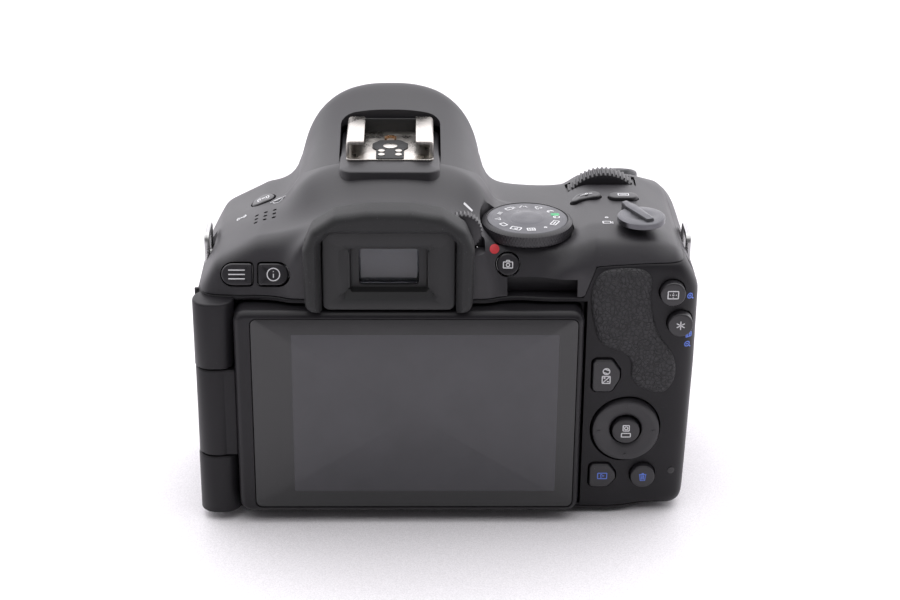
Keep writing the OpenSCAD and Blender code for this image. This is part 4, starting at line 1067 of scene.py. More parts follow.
class CAMERA_BODY_OT_top_cover(bpy.types.Operator):
    """Top cover: the finder's housing, the shoe's platform, and the places of dials, keys and lugs."""
    bl_idname = "camera_body.top_cover"
    bl_label = "Top cover"

    def execute(self, context):
        crown = crown_shell(1)
        platform = stack(rounded_box(24.2, 30, 3.0, 8, (0, 8)),
                         [(0, 74), (0, 83.9), (0.12, 84.15), (0.4, 84.3)], (0, 0, 0), UPWARD)
        cuts = key_holes(TOP_KEYS) + LUG_POCKETS
        cuts += [revolve_cut(11.4, MODE_DIAL_AT, UPWARD, DECK_Z, 90),
                 revolve_cut(10.9, (53.5, 0, 65.9), FORWARD, 12.5, 18.5),
                 revolve_cut(5.75, slope_at(58, 27), SLOPING, -6, 6), cutter((-9, 9), (-30, -17), (62, 73)),
                 cutter((11.9, 22.6), (-30, -18.6), (69.9, 80.2), 1.0),
                 cutter((28, 44.6), (-32, -20.2), (58, 63.4), 0.5),
                 revolve_cut(27.7, (0, 0, AXIS_Z), FORWARD, 10, 45)]
        cuts += [revolve_cut(0.5, (-32.4 + 2.2 * i, -6.4 + 2.2 * j, 0), UPWARD, 69.6, 76, 16)
                 for i in range(3) for j in range(3)]
        finish("top_cover_shell", [crown], "body", finish_for("body"), ["top_cover"], cuts)
        back = slab((27, 46.4), (-20.3, -19.2), (59.1, 64.2), 0.5)
        finish("finger_hollow_back", [back], "body", finish_for("rear"), ())
        finish("shoe_platform", [platform], "body", finish_for("body"), (), [])
        return {"FINISHED"}


class CAMERA_BODY_OT_front_cover(bpy.types.Operator):
    """Front cover: the grip, the collar round the mount, and the pockets of keys, lugs and terminal
    covers."""
    bl_idname = "camera_body.front_cover"
    bl_label = "Front cover"

    def execute(self, context):
        keys = [(LEFT_CORE, -12.97, 180), (LEFT_CORE, 14, 180), (LEFT_CORE, 14, 90), (44, 14, 90),
                (54, 24, 90), (RIGHT_CORE, 24, 90), (RIGHT_CORE, 24, 0), (RIGHT_CORE, -12.97, 0)]
        wall = wall_shell(keys, 2.03, 1.0, wall=2.4)
        collar = lathe([(27.8, 19), (35.2, 19), (35.0, 24), (34.7, 31.9), (34.2, 32.9), (33.2, 33.4),
                        (32.9, 33.0),
                        (32.8, 31.4), (27.8, 31.4)], (0, 0, AXIS_Z), FORWARD, 128, hollow=True)
        cuts = [revolve_cut(27.7, (0, 0, AXIS_Z), FORWARD, 10, 45, 96),
                revolve_cut(3.75, (-39.6, 0, 34), FORWARD, 18, 30),
                revolve_cut(5.75, slope_at(58, 27), SLOPING, -6, 6),
                cutter((-50, -45.7), (-8.2, 9.0), (23.8, 50.2), 0.3),
                cutter((73.1, 80), (-11.2, 5.0), (21.8, 44.2), 0.3)]
        finish("front_cover_shell", [wall], "body", finish_for("body"), ["front_cover"],
               cuts + LUG_POCKETS)
        finish("mount_collar", [collar], "body", finish_for("gloss"), ())
        return {"FINISHED"}


class CAMERA_BODY_OT_bottom_cover(bpy.types.Operator):
    """Bottom cover with the tripod bush, the battery door's opening and its screws' seats."""
    bl_idname = "camera_body.bottom_cover"
    bl_label = "Bottom cover"

    def execute(self, context):
        door = cad("battery_door")
        cuts = [cutter((door[0][0] - 0.2, door[1][0] + 0.2), (door[0][1] - 0.2, door[1][1] + 0.2),
                       (-3, 1.2), 2.0),
                revolve_cut(5.0, (0, 0, 0), UPWARD, -3, 9)]
        cuts += [revolve_cut(1.9, (x, y, 0), UPWARD, -3, 1.1, 32) for x,
                 y in ((-20, 14), (-20, -8), (36, -8), (36, 15))]
        finish("bottom_cover_shell", [crown_shell(-1, 1.1)], "body", finish_for("rear"), ["bottom_cover"],
               cuts)
        finish("battery_door_plate",
               [stack(rounded_box(23.3, 43.3, 2.0, 8, (58.25, 11.5)), soft_rows(0.12, 2.3, 0.2, 0.4),
                                            (0, 0, 0), UPWARD)],
               "battery_hatch", finish_for("rear"), ["battery_door"],
               [cutter((48.55, 54.3), (8.8, 17.2), (-1, 5), 0.4)])
        latch = [slab((48.75, 51.55), (9.1, 16.9), (0.25, 3.0), 0.4)]
        latch += [slab((49.2, 51.1), (y, y + 0.6), (0.05, 0.6), 0.1,
                       0.08) for y in np.arange(10.2, 15.8, 1.3)]
        finish("battery_latch", latch, "hatch_latch", finish_for("key"), ["battery_door_latch"])
        bush = lathe([(3.3, 0.1), (4.7, 0.1), (4.85, 0.3), (4.85, 5.4), (3.3, 5.4)], (0, 0, 0), UPWARD, 64,
                     hollow=True)
        finish("tripod_bush", [bush], "body", finish_for("screw"), ())
        return {"FINISHED"}


class CAMERA_BODY_OT_skins(bpy.types.Operator):
    """Rubber skins on the grip and under the thumb, with a leather grain."""
    bl_idname = "camera_body.skins"
    bl_label = "Grip skins"

    def execute(self, context):
        keys = [(53, 24, 165), (54, 24, 120), (56, 24, 90), (62, 24, 90), (66, 20, 60), (66, 18, 8)]
        skin = wall_shell(keys, 4.0, 1.1, 54.0, body_field, 0.55, 1.6)
        finish("grip_skin", [skin], "body", finish_for("skin"), ["grip_rubber"], [])
        pad = loop_curve([(47.9, 57.4), (48.5, 53.5), (50.6, 47.4), (56.2, 44.6), (58.2, 42.0),
                          (58.5, 37.6), (61.4, 34.6),
                          (66.3, 33.6), (68.9, 37.4), (68.4, 43), (64.6, 49), (63.0, 54), (62.2, 59),
                          (62.3, 63.4), (60, 65.9), (55, 66.3), (50.4, 65.4), (48.2, 61.8)], 6)
        rest = stack(pad, [(0, -0.6), (0, 0.1), (0.06, 0.3), (0.25, 0.55), (0.6, 0.75), (1.1, 0.88),
                           (1.9, 0.98), (2.8, 1.05)], (0, REAR_Y, 0), REARWARD, cover_field)
        finish("thumb_rest_skin", [rest], "body", finish_for("pad"), ["thumb_rest_rubber"], [])
        return {"FINISHED"}


class CAMERA_BODY_OT_display(bpy.types.Operator):
    """Display: housing, pane and the arm that it swings on."""
    bl_idname = "camera_body.display"
    bl_label = "Display"

    def execute(self, context):
        (x0, y0, z0), (x1, y1, z1) = HOUSING
        centre = ((x0 + x1) / 2, 0, (z0 + z1) / 2)
        outline = subdivide(rounded_box(x1 - x0, z1 - z0, 3.0, 10), 6)
        rows = [(0.6, -y1), (0.15, -y1 + 0.2), (0, -y1 + 0.6), (0, -y0 - 1.7), (0.06, -y0 - 1.3),
                (0.35, -y0 - 0.7), (0.85, -y0 - 0.25), (1.2, -y0 - 0.08), (1.5, -y0)]
        body = stack(outline, rows, centre, REARWARD)
        g0, g1 = GLASS
        pane = rounded_box(g1[0] - g0[0], g1[2] - g0[2], 1.6, 8)
        at = ((g0[0] + g1[0]) / 2, 0, (g0[2] + g1[2]) / 2)
        finish("display_case", [body], "display", finish_for("housing"), ["display_housing"],
               [stack(pane, [(-0.12, -y0 - 0.9), (-0.12, -y0 + 1)], at, REARWARD)])
        finish("display_pane", [stack(pane,
                                      [(0, -y0 - 0.88), (0, -y0 - 0.3), (0.06, -y0 - 0.2),
                                       (0.2, -y0 - 0.14)],
                                      at, REARWARD)],
               "display", finish_for("pane"), ["display_glass"])
        arm = stack(rounded_box(9.3, 9.1, 4.2, 9, (-41.9, -22.5)), soft_rows(18.05, 41.15, 0.45, 0.45),
                    (0, 0, 0), UPWARD)
        web = slab((-41.5, -36.6), (-26.6, -20.6), (18.1, 41.1), 0.6, 0.4)
        pins = lathe([(1.7, 11.1), (1.8, 11.4), (1.8, 47.8), (1.7, 48.1)], (-42, -22.5, 0), UPWARD, 32)
        finish("display_hinge_arm", [arm, web], "display", finish_for("rear"), ["display_arm"])
        finish("display_hinge_pin", [pins], "display", finish_for("screw"), ())
        return {"FINISHED"}


class CAMERA_BODY_OT_finder(bpy.types.Operator):
    """Viewfinder: stepped frame, eyepiece and the rubber eyecup round it."""
    bl_idname = "camera_body.finder"
    bl_label = "Viewfinder"

    def execute(self, context):
        frame_outline = rounded_box(31.2, 20, 1.8, 7, (0, 67.6))
        block = stack(frame_outline, soft_rows(23.9, 28.0, 0.5), (0, 0, 0), REARWARD)
        cuts = [stack(rounded_box(24, 14.6, 2.0, 7, (0, 67.3)), [(2.4, 26.4), (-0.5, 28.6)], (0, 0, 0),
                      REARWARD),
                stack(rounded_box(19.4, 12.0, 1.2, 6, (0, 67.4)), [(0.9, 25.0), (0, 28.5)], (0, 0, 0),
                      REARWARD),
                stack(rounded_box(14.4, 9.4, 1.0, 6, (0, 67.5)), [(0.3, 20.0), (0, 28.5)], (0, 0, 0),
                      REARWARD)]
        finish("finder_frame", [block], "body", finish_for("inside"), ["viewfinder_frame"],
               cuts)
        lens = stack(rounded_box(15.4, 10.2, 1.4, 8, (0, 67.5)),
                     [(0.3, 20.2), (0, 20.5), (0, 22.7), (0.25, 22.95),
                                                                  (0.7, 23.1), (1.2, 23.15)], (0, 0, 0),
                     REARWARD)
        finish("eyepiece_glass", [lens], "body", finish_for("optic"), ["eyepiece_lens"])
        tunnel = slab((-9.5, 9.5), (-20.1, -19.0), (61.5, 73.5), 0.6)
        backs = [slab((11.0, 20.8), (-18.5, -17.6), (64, 70.6), 0.2),
                 slab((11.0, 17.0), (-18.5, -17.6), (70, 74.5), 0.2)]
        finish("finder_tunnel", [tunnel] + backs, "body", finish_for("gloss"), ())
        outer = subdivide(round_polygon([(-19.6, 57.9), (19.6, 57.9), (20, 73.5), (17.9, 78.7),
                                         (12.5, 82.4), (5, 83.5),
                                        (-5, 83.5), (-12.5, 82.4), (-17.9, 78.7), (-20, 73.5)], 2.5), 1.5)
        rows = [(0.5, 23.6), (0.1, 24.0), (0, 24.6), (0.0, 29.2), (0.12, 30.2), (0.5, 31.0), (1.1, 31.4),
                (1.9, 31.5)]
        ring = stack(outer, rows, (0, 0, 0), REARWARD)
        inner = round_polygon([(-15.75, 50), (15.75, 50), (15.75, 75.4), (13.4, 77.8), (-13.4, 77.8),
                               (-15.75, 75.4)], 1.2)
        cuts = [stack(inner, [(0, 20), (0, 28.4), (-0.3, 30.3), (-1.2, 31.3), (-2.2, 32.4)], (0, 0, 0),
                      REARWARD)]
        cuts += [cutter((s * 19.55 - 0.5, s * 19.55 + 0.5), (-29.6, -25.2), (z, z + 0.55), 0.05)
                 for s in (-1.02, 1.02) for z in np.arange(61.0, 77.5, 1.5)]
        finish("eyecup_rubber", [ring], "body", finish_for("rubber"), ["eyecup"], cuts)
        return {"FINISHED"}


class CAMERA_BODY_OT_flash(bpy.types.Operator):
    """Flash head that closes over the finder, solid but for the shoe's bay."""
    bl_idname = "camera_body.flash"
    bl_label = "Flash head"

    def execute(self, context):
        def lid(x, y, z):
            return np.maximum(flash_field(x, y, z), -0.15 - y)
        x, _, turn_x, s = chain([(-12, 0, -90), (-12, 0, 0), (12, 0, 0), (12, 0, 90)], 0.7, 20)
        y, _, turn_y, t = chain([(3, 0, -90), (3, 0, 0), (24, 0, 0), (24, 0, 90)], 0.7, 20)
        origin = np.stack(np.broadcast_arrays(x[:, None], y[None], 77.43), -1).astype(float)
        direction = np.stack([np.sin(turn_x)[:, None] + 0 * turn_y[None],
                              np.sin(turn_y)[None] + 0 * turn_x[:, None],
                              np.cos(turn_x)[:, None] * np.cos(turn_y)[None]], -1)
        direction /= np.linalg.norm(direction, axis=-1, keepdims=True)
        tuck = np.maximum(groove(s)[:, None], groove(t)[None])
        head = shell(lid, origin, direction, tuck, floor=77.38)
        cuts = [cutter((-12.4, 12.4), (-5, 23.6), (70, 86.3), 3.0),
                cutter((-12.4, 12.4), (-5, 21.1), (80, 99), 3.0),
                cutter((-11.0, 11.0), (33.3, 35.1), (70, 88.4), 0.3)]
        finish("flash_head_shell", [head], "flash", finish_for("body"), ["flash_head"],
               cuts)
        ribs = [slab((-10.7, 10.7), (33.6, 34.6), (77.6, 88.1), 0.3)]
        ribs += [slab((-10.5, 10.5), (34.5, 34.8), (z, z + 0.35), 0.1,
                      0.1) for z in np.arange(78.2, 87.6, 0.7)]
        pins = [lathe([(0.8, 11.6), (1.0, 11.8), (1.0, 14.4), (0.8, 14.6)], (0, 2.5, 81.8),
                      axes_for((side, 0, 0), (0, 1, 0)), 24)
                for side in (1, -1)]
        finish("flash_pins", pins, "body", finish_for("screw"), ["flash_hinge_pins"])
        finish("flash_lens", ribs, "flash", finish_for("flash_lens"), ["flash_window"])
        return {"FINISHED"}


class CAMERA_BODY_OT_hot_shoe(bpy.types.Operator):
    """Accessory shoe: plate, folded rails, spring and contacts."""
    bl_idname = "camera_body.hot_shoe"
    bl_label = "Accessory shoe"

    def execute(self, context):
        z0, z1 = PLATFORM_Z, cad("hot_shoe")[1][2]
        plate = slab((-10.6, 10.6), (0.1, 19.9), (z0, z0 + 0.55), 1.2, 0.15)
        parts = [plate]
        bend = arc((9.65, z1 - 0.95), 0.5, 0, 90, 6)
        for s in (1, -1):
            path = np.concatenate([[(10.15, z0 + 0.3), (10.15, z1 - 1.2)], bend,
                                   [(9.0, z1 - 0.45), (6.3, z1 - 0.45)]])
            parts.append(ribbon(path * (s, 1), 0.9, (0, 1.6, 0), REARWARD, 0, False, 18.0))
        finish("shoe_rails", parts, "body", finish_for("shoe"), ["hot_shoe"], [], 0.05)
        keyhole = round_polygon([(-3.4, 0.0), (3.4, 0.0), (3.4, 6.0), (4.4, 7.6), (4.4, 10.4), (2.6, 12.8),
                                 (-2.6, 12.8), (-4.4, 10.4), (-4.4, 7.6), (-3.4, 6.0)], 0.6)
        base = stack(keyhole, [(0, z0 + 0.1), (0, z0 + 0.75), (0.15, z0 + 0.85)], (0, 0.15, 0), UPWARD)
        wall = slab((-10, 10), (19.7, 20.3), (z0, z1 - 0.6), 0.2)
        finish("shoe_insulator", [base, wall], "body", finish_for("inside"), ["hot_shoe_contacts"])
        pins = [lathe([(r, z0 + 0.5), (r, z0 + 1.0), (r * 0.7, z0 + 1.15), (r * 0.2, z0 + 1.2)], (x, y, 0),
                      UPWARD, 28)
                for x, y, r in ((0, 8.5, 1.75), (-2.1, 5.2, 0.85), (2.1, 5.2, 0.85), (-2.1, 2.6, 0.85),
                                (2.1, 2.6, 0.85))]
        finish("shoe_contacts", pins, "body", finish_for("shoe"), ())
        spring = ribbon([(-1.2, -1.2), (-1.2, 0.2), (-0.6, 0.9), (0.6, 0.9), (1.2, 0.2), (1.2, -1.2)], 0.5,
                        (0, 14.6, z0 + 0.9), UPWARD, 0.2, False, 0.4)
        finish("shoe_spring", [spring], "body", finish_for("copper"), ())
        return {"FINISHED"}


class CAMERA_BODY_OT_dials(bpy.types.Operator):
    """Mode dial, main dial, power switch and diopter wheel with their knurls and marks."""
    bl_idname = "camera_body.dials"
    bl_label = "Dials"

    def execute(self, context):
        at = MODE_DIAL_AT
        heights = np.linspace(70.9, 73.3, 9)
        profile = [(9.2, 70.6), (10.5, 70.65)] + [(10.85, h) for h in heights] + [(10.4, 73.75),
                                                                                  (9.9, 73.95), (9.75, 73.7)]

        def knurl(row, t):
            inside = (row > 1) & (row < 11)
            h = (row - 2) * 0.3
            return np.where(inside, 0.14 * (np.abs(np.sin(45 * t + 2.2 * h)) + np.abs(np.sin(45 * t - 2.2 * h)) - 1.0), 0)
        finish("mode_dial_skirt", [lathe(profile, at, UPWARD, 540, knurl)], "mode_dial_body",
               finish_for("dial"), ["mode_dial"])
        top = [(9.7, 73.3), (9.7, 73.72), (9.55, 73.88), (9.3, 73.9), (4.2, 73.98), (4.0, 74.02),
               (3.6, 74.1), (2.0, 74.15)]
        finish("mode_dial_face", [lathe(top, at, UPWARD, 96)], "mode_dial_body", finish_for("dial_top"), ())
        names = ["frame", "wedge", "stripe", "film", "hill", "flower", "moon", "face", "panel", "dot",
                 "grid", "play"]
        white = []
        for i, name in enumerate(names):
            a = math.radians(215 - i * 30)
            white += print_sign(name, (at[0] + 7.1 * math.cos(a), at[1] + 7.1 * math.sin(a), 73.93), UPWARD,
                                0.95, 0.26, turn=a - math.pi / 2)
        finish("mode_dial_signs", white, "mode_dial_body", finish_for("white_mark"), ())
        finish("mode_dial_green_sign",
               [stack(rounded_box(2.0, 1.5, 0.3, 4, (39.8, -8.3)), [(0, 73.8), (0, 73.99)],
                                              (0, 0, 0), UPWARD)],
               "mode_dial_body", finish_for("green_mark"), ())

        wheel = [(9.0, -2.5), (9.9, -2.45)] + [(10.25, h) for h in np.linspace(-2.1, 2.1,
                                                                               8)] + [(9.9, 2.45), (9.0, 2.5)]

        def teeth(row, t):
            return np.where((row > 1) & (row < 10), 0.22 * np.tanh(2.2 * np.sin(58 * t)), 0)
        finish("main_dial_wheel", [lathe(wheel, MAIN_DIAL_AT, FORWARD, 464, teeth)], "main_dial_body",
               finish_for("dial"), ["main_dial"])

        disc = [(5.4, 74.5), (5.7, 74.7), (5.7, 75.9), (5.5, 76.1), (5.1, 76.2), (3.0, 76.25), (2.6, 76.15),
                (1.0, 76.1)]
        fin = stack(round_polygon([(-1.1, -4.4), (1.1, -4.4), (1.5, 5.0), (0.8, 8.3), (-0.8, 8.3),
                                   (-1.5, 5.0)], 0.7),
                    [(0.4, 74.6), (0, 74.9), (0, 76.4), (0.2, 76.85), (0.6, 77.05)], SWITCH_AT,
                    axes_for((0, 0, 1), (math.sin(math.radians(65)), math.cos(math.radians(65)), 0)))
        finish("power_switch_disc", [lathe(disc, SWITCH_AT, UPWARD, 72), fin], "power_switch_body",
               finish_for("switch"), ["power_switch"])

        ring = [(4.1, -2.9)] + [(4.45, h) for h in np.linspace(-2.7, -0.4, 4)] + [(4.2, -0.1), (3.6, 0.05),
                                                                                  (1.0, 0.1)]

        def fine(row, t):
            return np.where((row > 0) & (row < 5), 0.16 * np.sin(30 * t), 0)
        stem = lathe([(1.4, -6.0), (1.4, -2.8)], DIOPTER_AT, REARWARD, 24)
        finish("diopter_wheel", [lathe(ring, DIOPTER_AT, REARWARD, 240, fine), stem], "diopter",
               finish_for("dial"), ["diopter_dial"])
        return {"FINISHED"}


class CAMERA_BODY_OT_keys(bpy.types.Operator):
    """Keys with their printed signs, the shutter button, the set key and the four-way pad."""
    bl_idname = "camera_body.keys"
    bl_label = "Keys"

    def execute(self, context):
        sizes = context.scene.camera_body_sizes
        proud, ink = sizes.key_proud / MM, sizes.ink_width / MM
        for name, (body, outline, at, axes, label) in KEYS.items():
            extra = 0.0 if name != "wireless" else 0.2
            high = proud if name != "wireless" else 0.4
            lie = cover_field if name in ("iso", "display_mode", "wireless") else None
            cap = stack(outline, soft_rows(-2.4 - extra, high, 0.4, 0, 0.05), at, axes, lie)
            finish(name + "_cap", [cap], body, finish_for("key"), [name + "_button"])
            size = {"menu": 1.15, "info": 1.1, "live_view": 0.95, "focus_point": 0.95,
                    "exposure": 0.95}.get(name, 0.9)
            lift = np.array(at) + axes[2] * (high - 0.04)
            blue = "blue_mark" if name in ("playback", "erase") else "white_mark"
            if lie:
                signs = print_sign(label, at, axes, size, ink, high + 0.02, lie)
            else:
                signs = print_sign(label, lift, axes, size, ink)
            finish(name + "_sign", signs, body, finish_for(blue), ())
        seat = slope_at(58, 27)
        cap = lathe([(5.1, -3.2), (5.3, -2.8), (5.3, 0.5), (5.2, 0.9), (4.9, 1.2), (4.4, 1.3), (3.4, 1.2),
                     (2.2, 1.05), (1.0, 0.98)], seat, SLOPING, 80)
        finish("shutter_cap", [cap], "shutter_release", finish_for("button"), ["shutter_button"])
        at = CROSS_AT
        pad = lathe([(3.95, -3.6), (8.1, -3.6), (8.25, -3.2), (8.25, 0.3), (8.05, 0.7), (7.5, 0.95),
                     (6.6, 0.85), (5.2, 0.45), (4.4, 0.35), (3.95, 0.1)], at, REARWARD, 96, hollow=True)
        finish("four_way_pad", [pad], "cross_pad", finish_for("key"), ["cross_keys"])
        ticks = [ribbon([(x * 6.3, y * 6.3), (x * 7.2, y * 7.2)], 0.35, (57.6, REAR_Y - 0.86, 23.8),
                        REARWARD, 0.14, False, 0.3) for x, y in ((0, 1), (0, -1), (1, 0), (-1, 0))]
        finish("four_way_ticks", ticks, "cross_pad", finish_for("dial"), ())
        cap = lathe([(3.2, -3.4), (3.4, -3.0), (3.4, 0.7), (3.25, 1.05), (2.9, 1.2), (1.5, 1.25)], at,
                    REARWARD, 64)
        finish("set_cap", [cap], "set_key", finish_for("key"), ["set_button"])
        finish("set_sign", print_sign("quick", (57.6, REAR_Y - 1.22, 23.8), REARWARD, 1.0, ink), "set_key",
               finish_for("white_mark"), ())
        button = lathe([(3.2, 19.8), (3.4, 20.2), (3.4, 25.2), (3.2, 25.7), (2.6, 25.9), (1.2, 25.8)],
                       (-39.6, 0, 34), FORWARD, 56)
        finish("lens_release_cap", [button], "release_key", finish_for("key"), ["lens_release_button"])
        return {"FINISHED"}


class CAMERA_BODY_OT_mount(bpy.types.Operator):
    """Bayonet mount: turned ring with three tabs, and the hole for the lock pin."""
    bl_idname = "camera_body.mount"
    bl_label = "Bayonet mount"

    def execute(self, context):
        profile = [(27.0, 33.2), (27.0, 35.3), (27.2, 35.5), (32.0, 35.5), (32.3, 35.35), (32.5, 35.0),
                   (32.5, 31.6), (27.6, 31.6), (27.6, 33.0)]
        ring = lathe(profile, (0, 0, AXIS_Z), FORWARD, 160, hollow=True)
        parts = [ring]
        for start in (30, 150, 270):
            bow = arc((0, 0), 26.3, start, start + 52, 26)
            parts.append(ribbon(bow, 1.8, (0, 31.7, AXIS_Z), FORWARD, 1.5, False, 0))
        seats = [revolve_cut(1.55, (s * 21.14, 0, AXIS_Z + t * 21.14), FORWARD, 34.6, 40,
                             28) for s in (1, -1) for t in (1, -1)]
        finish("bayonet_ring", parts, "body", finish_for("mount"), ["lens_mount_ring"],
               seats + [revolve_cut(1.5, (-28.1, 0, 26.8), FORWARD, 30, 40, 28)])
        dot = lathe([(1.1, 33.3), (1.1, 33.56), (0.8, 33.62)], (0, 0, AXIS_Z + 33.9), FORWARD, 28)
        finish("mount_index_dot", [dot], "body", finish_for("red_mark"), ())
        return {"FINISHED"}


class CAMERA_BODY_OT_fittings(bpy.types.Operator):
    """Strap lugs, terminal covers, marks on the covers, and finishes for the pieces inside."""
    bl_idname = "camera_body.fittings"
    bl_label = "Fittings and marks"

    def execute(self, context):
        lugs = []
        for x0, x1 in ((-45.2, -44.0), (72.4, 73.6)):
            path = subdivide(rounded_box(8.6, 7.8, 1.6, 7), 1.0)
            lugs.append(ribbon(path, 1.4, ((x0 + x1) / 2, 0, 62.5), axes_for((1, 0, 0), (0, 1, 0)), 0.6,
                               True, 0.6))
        finish("strap_bars", lugs, "body", finish_for("screw"), ["strap_lugs"], [], 0.12)

        sides = (("left", axes_for((-1, 0, 0), (0, -1, 0)), (-43, 0.4, 37), 16.6, 25.8,
                  "left_terminal_cover"),
                 ("right", axes_for((1, 0, 0), (0, 1, 0)), (71, -3.1, 33), 15.6, 21.8,
                  "right_terminal_cover"))
        for name, axes, at, w, h, body in sides:
            outline = subdivide(rounded_box(w, h, 1.4, 7), 1.2)
            flap = stack(outline, [(0, -1.1), (0, -0.35), (0.12, -0.1), (0.4, 0.0), (1.2, 0.02),
                                   (2.6, 0.02), (4.2, 0.02)],
                         at, axes, body_field)
            finish(name + "_terminal_flap", [flap], body, finish_for("rubber"), ["terminal_cover_" + name])

        white, blue = [], []
        for label, at, size in (("closer", (71.6, REAR_Y, 58.6), 0.75), ("grid", (71.9, REAR_Y, 48.4), 0.7),
                                ("further", (71.6, REAR_Y, 45.9), 0.75)):
            blue += print_sign(label, at, REARWARD, size, 0.24, 0.06, cover_field)
        white += print_sign("tick", (18.8, -10.5, 74), UPWARD, 1.2, 0.7, 0.07, cover_field,
                            math.radians(-20))
        white += print_sign("scale", (15.8, -17.2, 78), UPWARD, 1.0, 0.35, 0.07, cover_field)
        for label, at, size in (("dot", (52.2, -9.2, 75), 1.0), ("film", (52.0, -12.2, 75), 0.95),
                                ("stripe", (57.5, -7.4, 75), 0.8), ("dot", (63.6, -7.8, 75), 0.9),
                                ("wireless", (-36.5, 1.5, 70), 0.7)):
            white += print_sign(label, at, UPWARD, size, 0.26, 0.07, cover_field)
        finish("white_signs", white, "body", finish_for("white_mark"), ())
        finish("blue_signs", blue, "body", finish_for("blue_mark"), ())
        dot = stack(circle(1.15, 28), [(0, -0.3), (0, 0.1), (0.2, 0.16)], lean_at(24.9, 69.6), LEANING,
                    cover_field)
        finish("record_dot", [dot], "body", finish_for("red_mark"), ())
        lamp = stack(circle(0.9, 24), [(0, -0.3), (0, 0.12), (0.25, 0.2)], (69.5, REAR_Y, 11.6), REARWARD,
                     cover_field)
        finish("access_lamp", [lamp], "body", finish_for("gloss"), ())
        plane = [ribbon(arc((0, 0), 1.2, 0, 360, 24)[:-1], 0.2, (-27.6, 3.5, 75), UPWARD, 0.06, True, 0.25,
                        cover_field),
                 ribbon([(-2.0, 0), (2.0, 0)], 0.2, (-27.6, 3.5, 75), UPWARD, 0.06, False, 0.25,
                        cover_field)]
        finish("sensor_plane_sign", plane, "body", finish_for("white_mark"), ())

        for node, look in {"screws": "screw", "mirror_box": "inside", "focusing_screen": "optic",
                           "pentamirror": "inside",
                           "shutter_frame": "black_metal", "image_sensor": "sensor",
                           "main_circuit_board": "board",
                           "chassis": "frame_metal", "battery": "battery", "memory_card": "card",
                           "flash_tube": "optic", "cross_key_gimbal": "inside", "reflex_mirror": "mirror",
                           "sub_mirror": "mirror", "shutter_blade_upper": "black_metal",
                           "lens_lock_pin": "screw",
                           "shutter_blade_middle": "black_metal",
                           "shutter_blade_lower": "black_metal"}.items():
            paint(node, look)
        return {"FINISHED"}


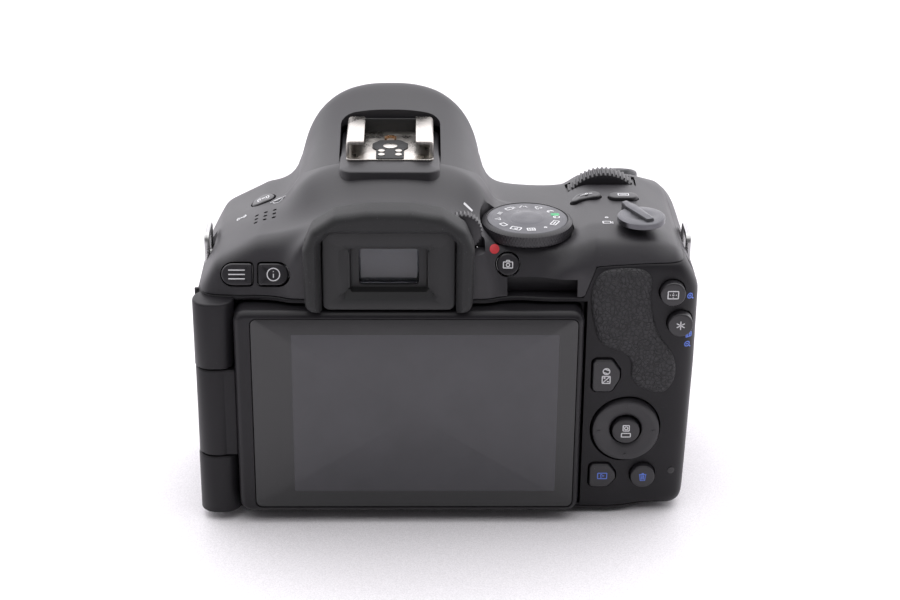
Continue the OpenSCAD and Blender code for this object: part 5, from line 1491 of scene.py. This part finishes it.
class CAMERA_BODY_OT_stage(bpy.types.Operator):
    """Pale floor, soft lights, a room that darkens towards the viewer, and the camera."""
    bl_idname = "camera_body.stage"
    bl_label = "Stage"

    def execute(self, context):
        light = context.scene.camera_body_light
        context.scene.view_settings.view_transform = "Standard"
        mesh = bpy.data.meshes.new("floor")
        mesh.from_pydata([(-3, -3, -0.0002), (3, -3, -0.0002), (3, 3, -0.0002), (-3, 3, -0.0002)], [],
                         [(0, 1, 2, 3)])
        floor = bpy.data.objects.new("floor", mesh)
        context.scene.collection.objects.link(floor)
        mesh.materials.append(mark("Floor paper", (0.93, 0.905, 0.935), 0.6))
        for name, at, aim, size, power in (("top", (0.0, -0.05, 1.0), (0, 0, 0.0), (1.7, 1.5),
                                            light.top_power),
                                           ("left", (-0.8, -0.1, 0.5), (0, 0, 0.03), (0.5, 0.5),
                                            light.side_power),
                                           ("right", (0.8, 0.0, 0.5), (0, 0, 0.03), (0.5, 0.5),
                                            light.side_power)):
            lamp = bpy.data.lights.new(name, "AREA")
            lamp.shape = "RECTANGLE"
            lamp.size, lamp.size_y = size
            lamp.energy = power
            item = bpy.data.objects.new(name, lamp)
            item.location = at
            item.rotation_euler = (Vector(aim) - Vector(at)).to_track_quat("-Z", "Y").to_euler()
            context.scene.collection.objects.link(item)
        world = bpy.data.worlds.new("room")
        world.use_nodes = True
        context.scene.world = world
        tree = world.node_tree
        way = add(tree, "ShaderNodeSeparateXYZ",
                  {"Vector": add(tree, "ShaderNodeTexCoord").outputs["Generated"]})
        back = add(tree, "ShaderNodeMapRange",
                   {"Value": way.outputs["Y"], "From Min": -0.25, "From Max": 0.55,
                                                "To Min": 0.1, "To Max": 1.0})
        shade = add(tree, "ShaderNodeMix", {"Factor": back.outputs["Result"]}, data_type="RGBA")
        shade.inputs[6].default_value = (0, 0, 0, 1)
        shade.inputs[7].default_value = (1.0, 0.985, 1.02, 1)
        tree.links.new(shade.outputs[2], tree.nodes["Background"].inputs["Color"])
        tree.nodes["Background"].inputs["Strength"].default_value = light.surround

        yaw, pitch, roll = (math.radians(a) for a in (1.106, 24.69, 0.52))
        ahead = Vector((math.sin(yaw) * math.cos(pitch), math.cos(yaw) * math.cos(pitch), -math.sin(pitch)))
        level = Vector((math.cos(yaw), -math.sin(yaw), 0))
        up = level.cross(ahead)
        right = math.cos(roll) * level + math.sin(roll) * up
        up = math.cos(roll) * up - math.sin(roll) * level
        spot = Vector((8.6, -28.0, 30.2)) - (-5.978 * right - 27.359 * up + 481.546 * ahead)
        lens = bpy.data.cameras.new("camera")
        lens.lens, lens.sensor_width = 80, 36
        lens.clip_start = 0.01
        eye = bpy.data.objects.new("camera", lens)
        turn = Matrix((right, up, -ahead)).transposed()
        eye.matrix_world = Matrix.Translation(spot * MM) @ turn.to_4x4()
        context.scene.collection.objects.link(eye)
        context.scene.camera = eye
        return {"FINISHED"}


class CAMERA_BODY_PT_panel(bpy.types.Panel):
    """Lists the pieces and their settings."""
    bl_label = "Reflex camera body"
    bl_idname = "CAMERA_BODY_PT_panel"
    bl_space_type = "VIEW_3D"
    bl_region_type = "UI"
    bl_category = "Camera body"

    def draw(self, context):
        for settings in (context.scene.camera_body_sizes, context.scene.camera_body_colours,
                         context.scene.camera_body_light):
            box = self.layout.box()
            for name in settings.bl_rna.properties.keys():
                if name not in ("rna_type", "name"):
                    box.prop(settings, name)
        for made in PIECES:
            self.layout.operator(made.bl_idname)


PIECES = (CAMERA_BODY_OT_stage, CAMERA_BODY_OT_rear_cover, CAMERA_BODY_OT_top_cover,
          CAMERA_BODY_OT_front_cover,
          CAMERA_BODY_OT_bottom_cover, CAMERA_BODY_OT_skins, CAMERA_BODY_OT_display, CAMERA_BODY_OT_finder,
          CAMERA_BODY_OT_flash, CAMERA_BODY_OT_hot_shoe, CAMERA_BODY_OT_dials, CAMERA_BODY_OT_keys,
          CAMERA_BODY_OT_mount, CAMERA_BODY_OT_fittings)
CLASSES = (CameraBodySizes, CameraBodyColours, CameraBodyLight) + PIECES + (CAMERA_BODY_PT_panel,)


def register():
    for made in CLASSES:
        bpy.utils.register_class(made)
    bpy.types.Scene.camera_body_sizes = PointerProperty(type=CameraBodySizes)
    bpy.types.Scene.camera_body_colours = PointerProperty(type=CameraBodyColours)
    bpy.types.Scene.camera_body_light = PointerProperty(type=CameraBodyLight)


def unregister():
    for name in ("camera_body_light", "camera_body_colours", "camera_body_sizes"):
        delattr(bpy.types.Scene, name)
    for made in reversed(CLASSES):
        bpy.utils.unregister_class(made)


def main():
    register()
    for made in PIECES:
        group_name, piece_name = made.bl_idname.split(".")
        getattr(getattr(bpy.ops, group_name), piece_name)()


if __name__ == "__main__":
    main()
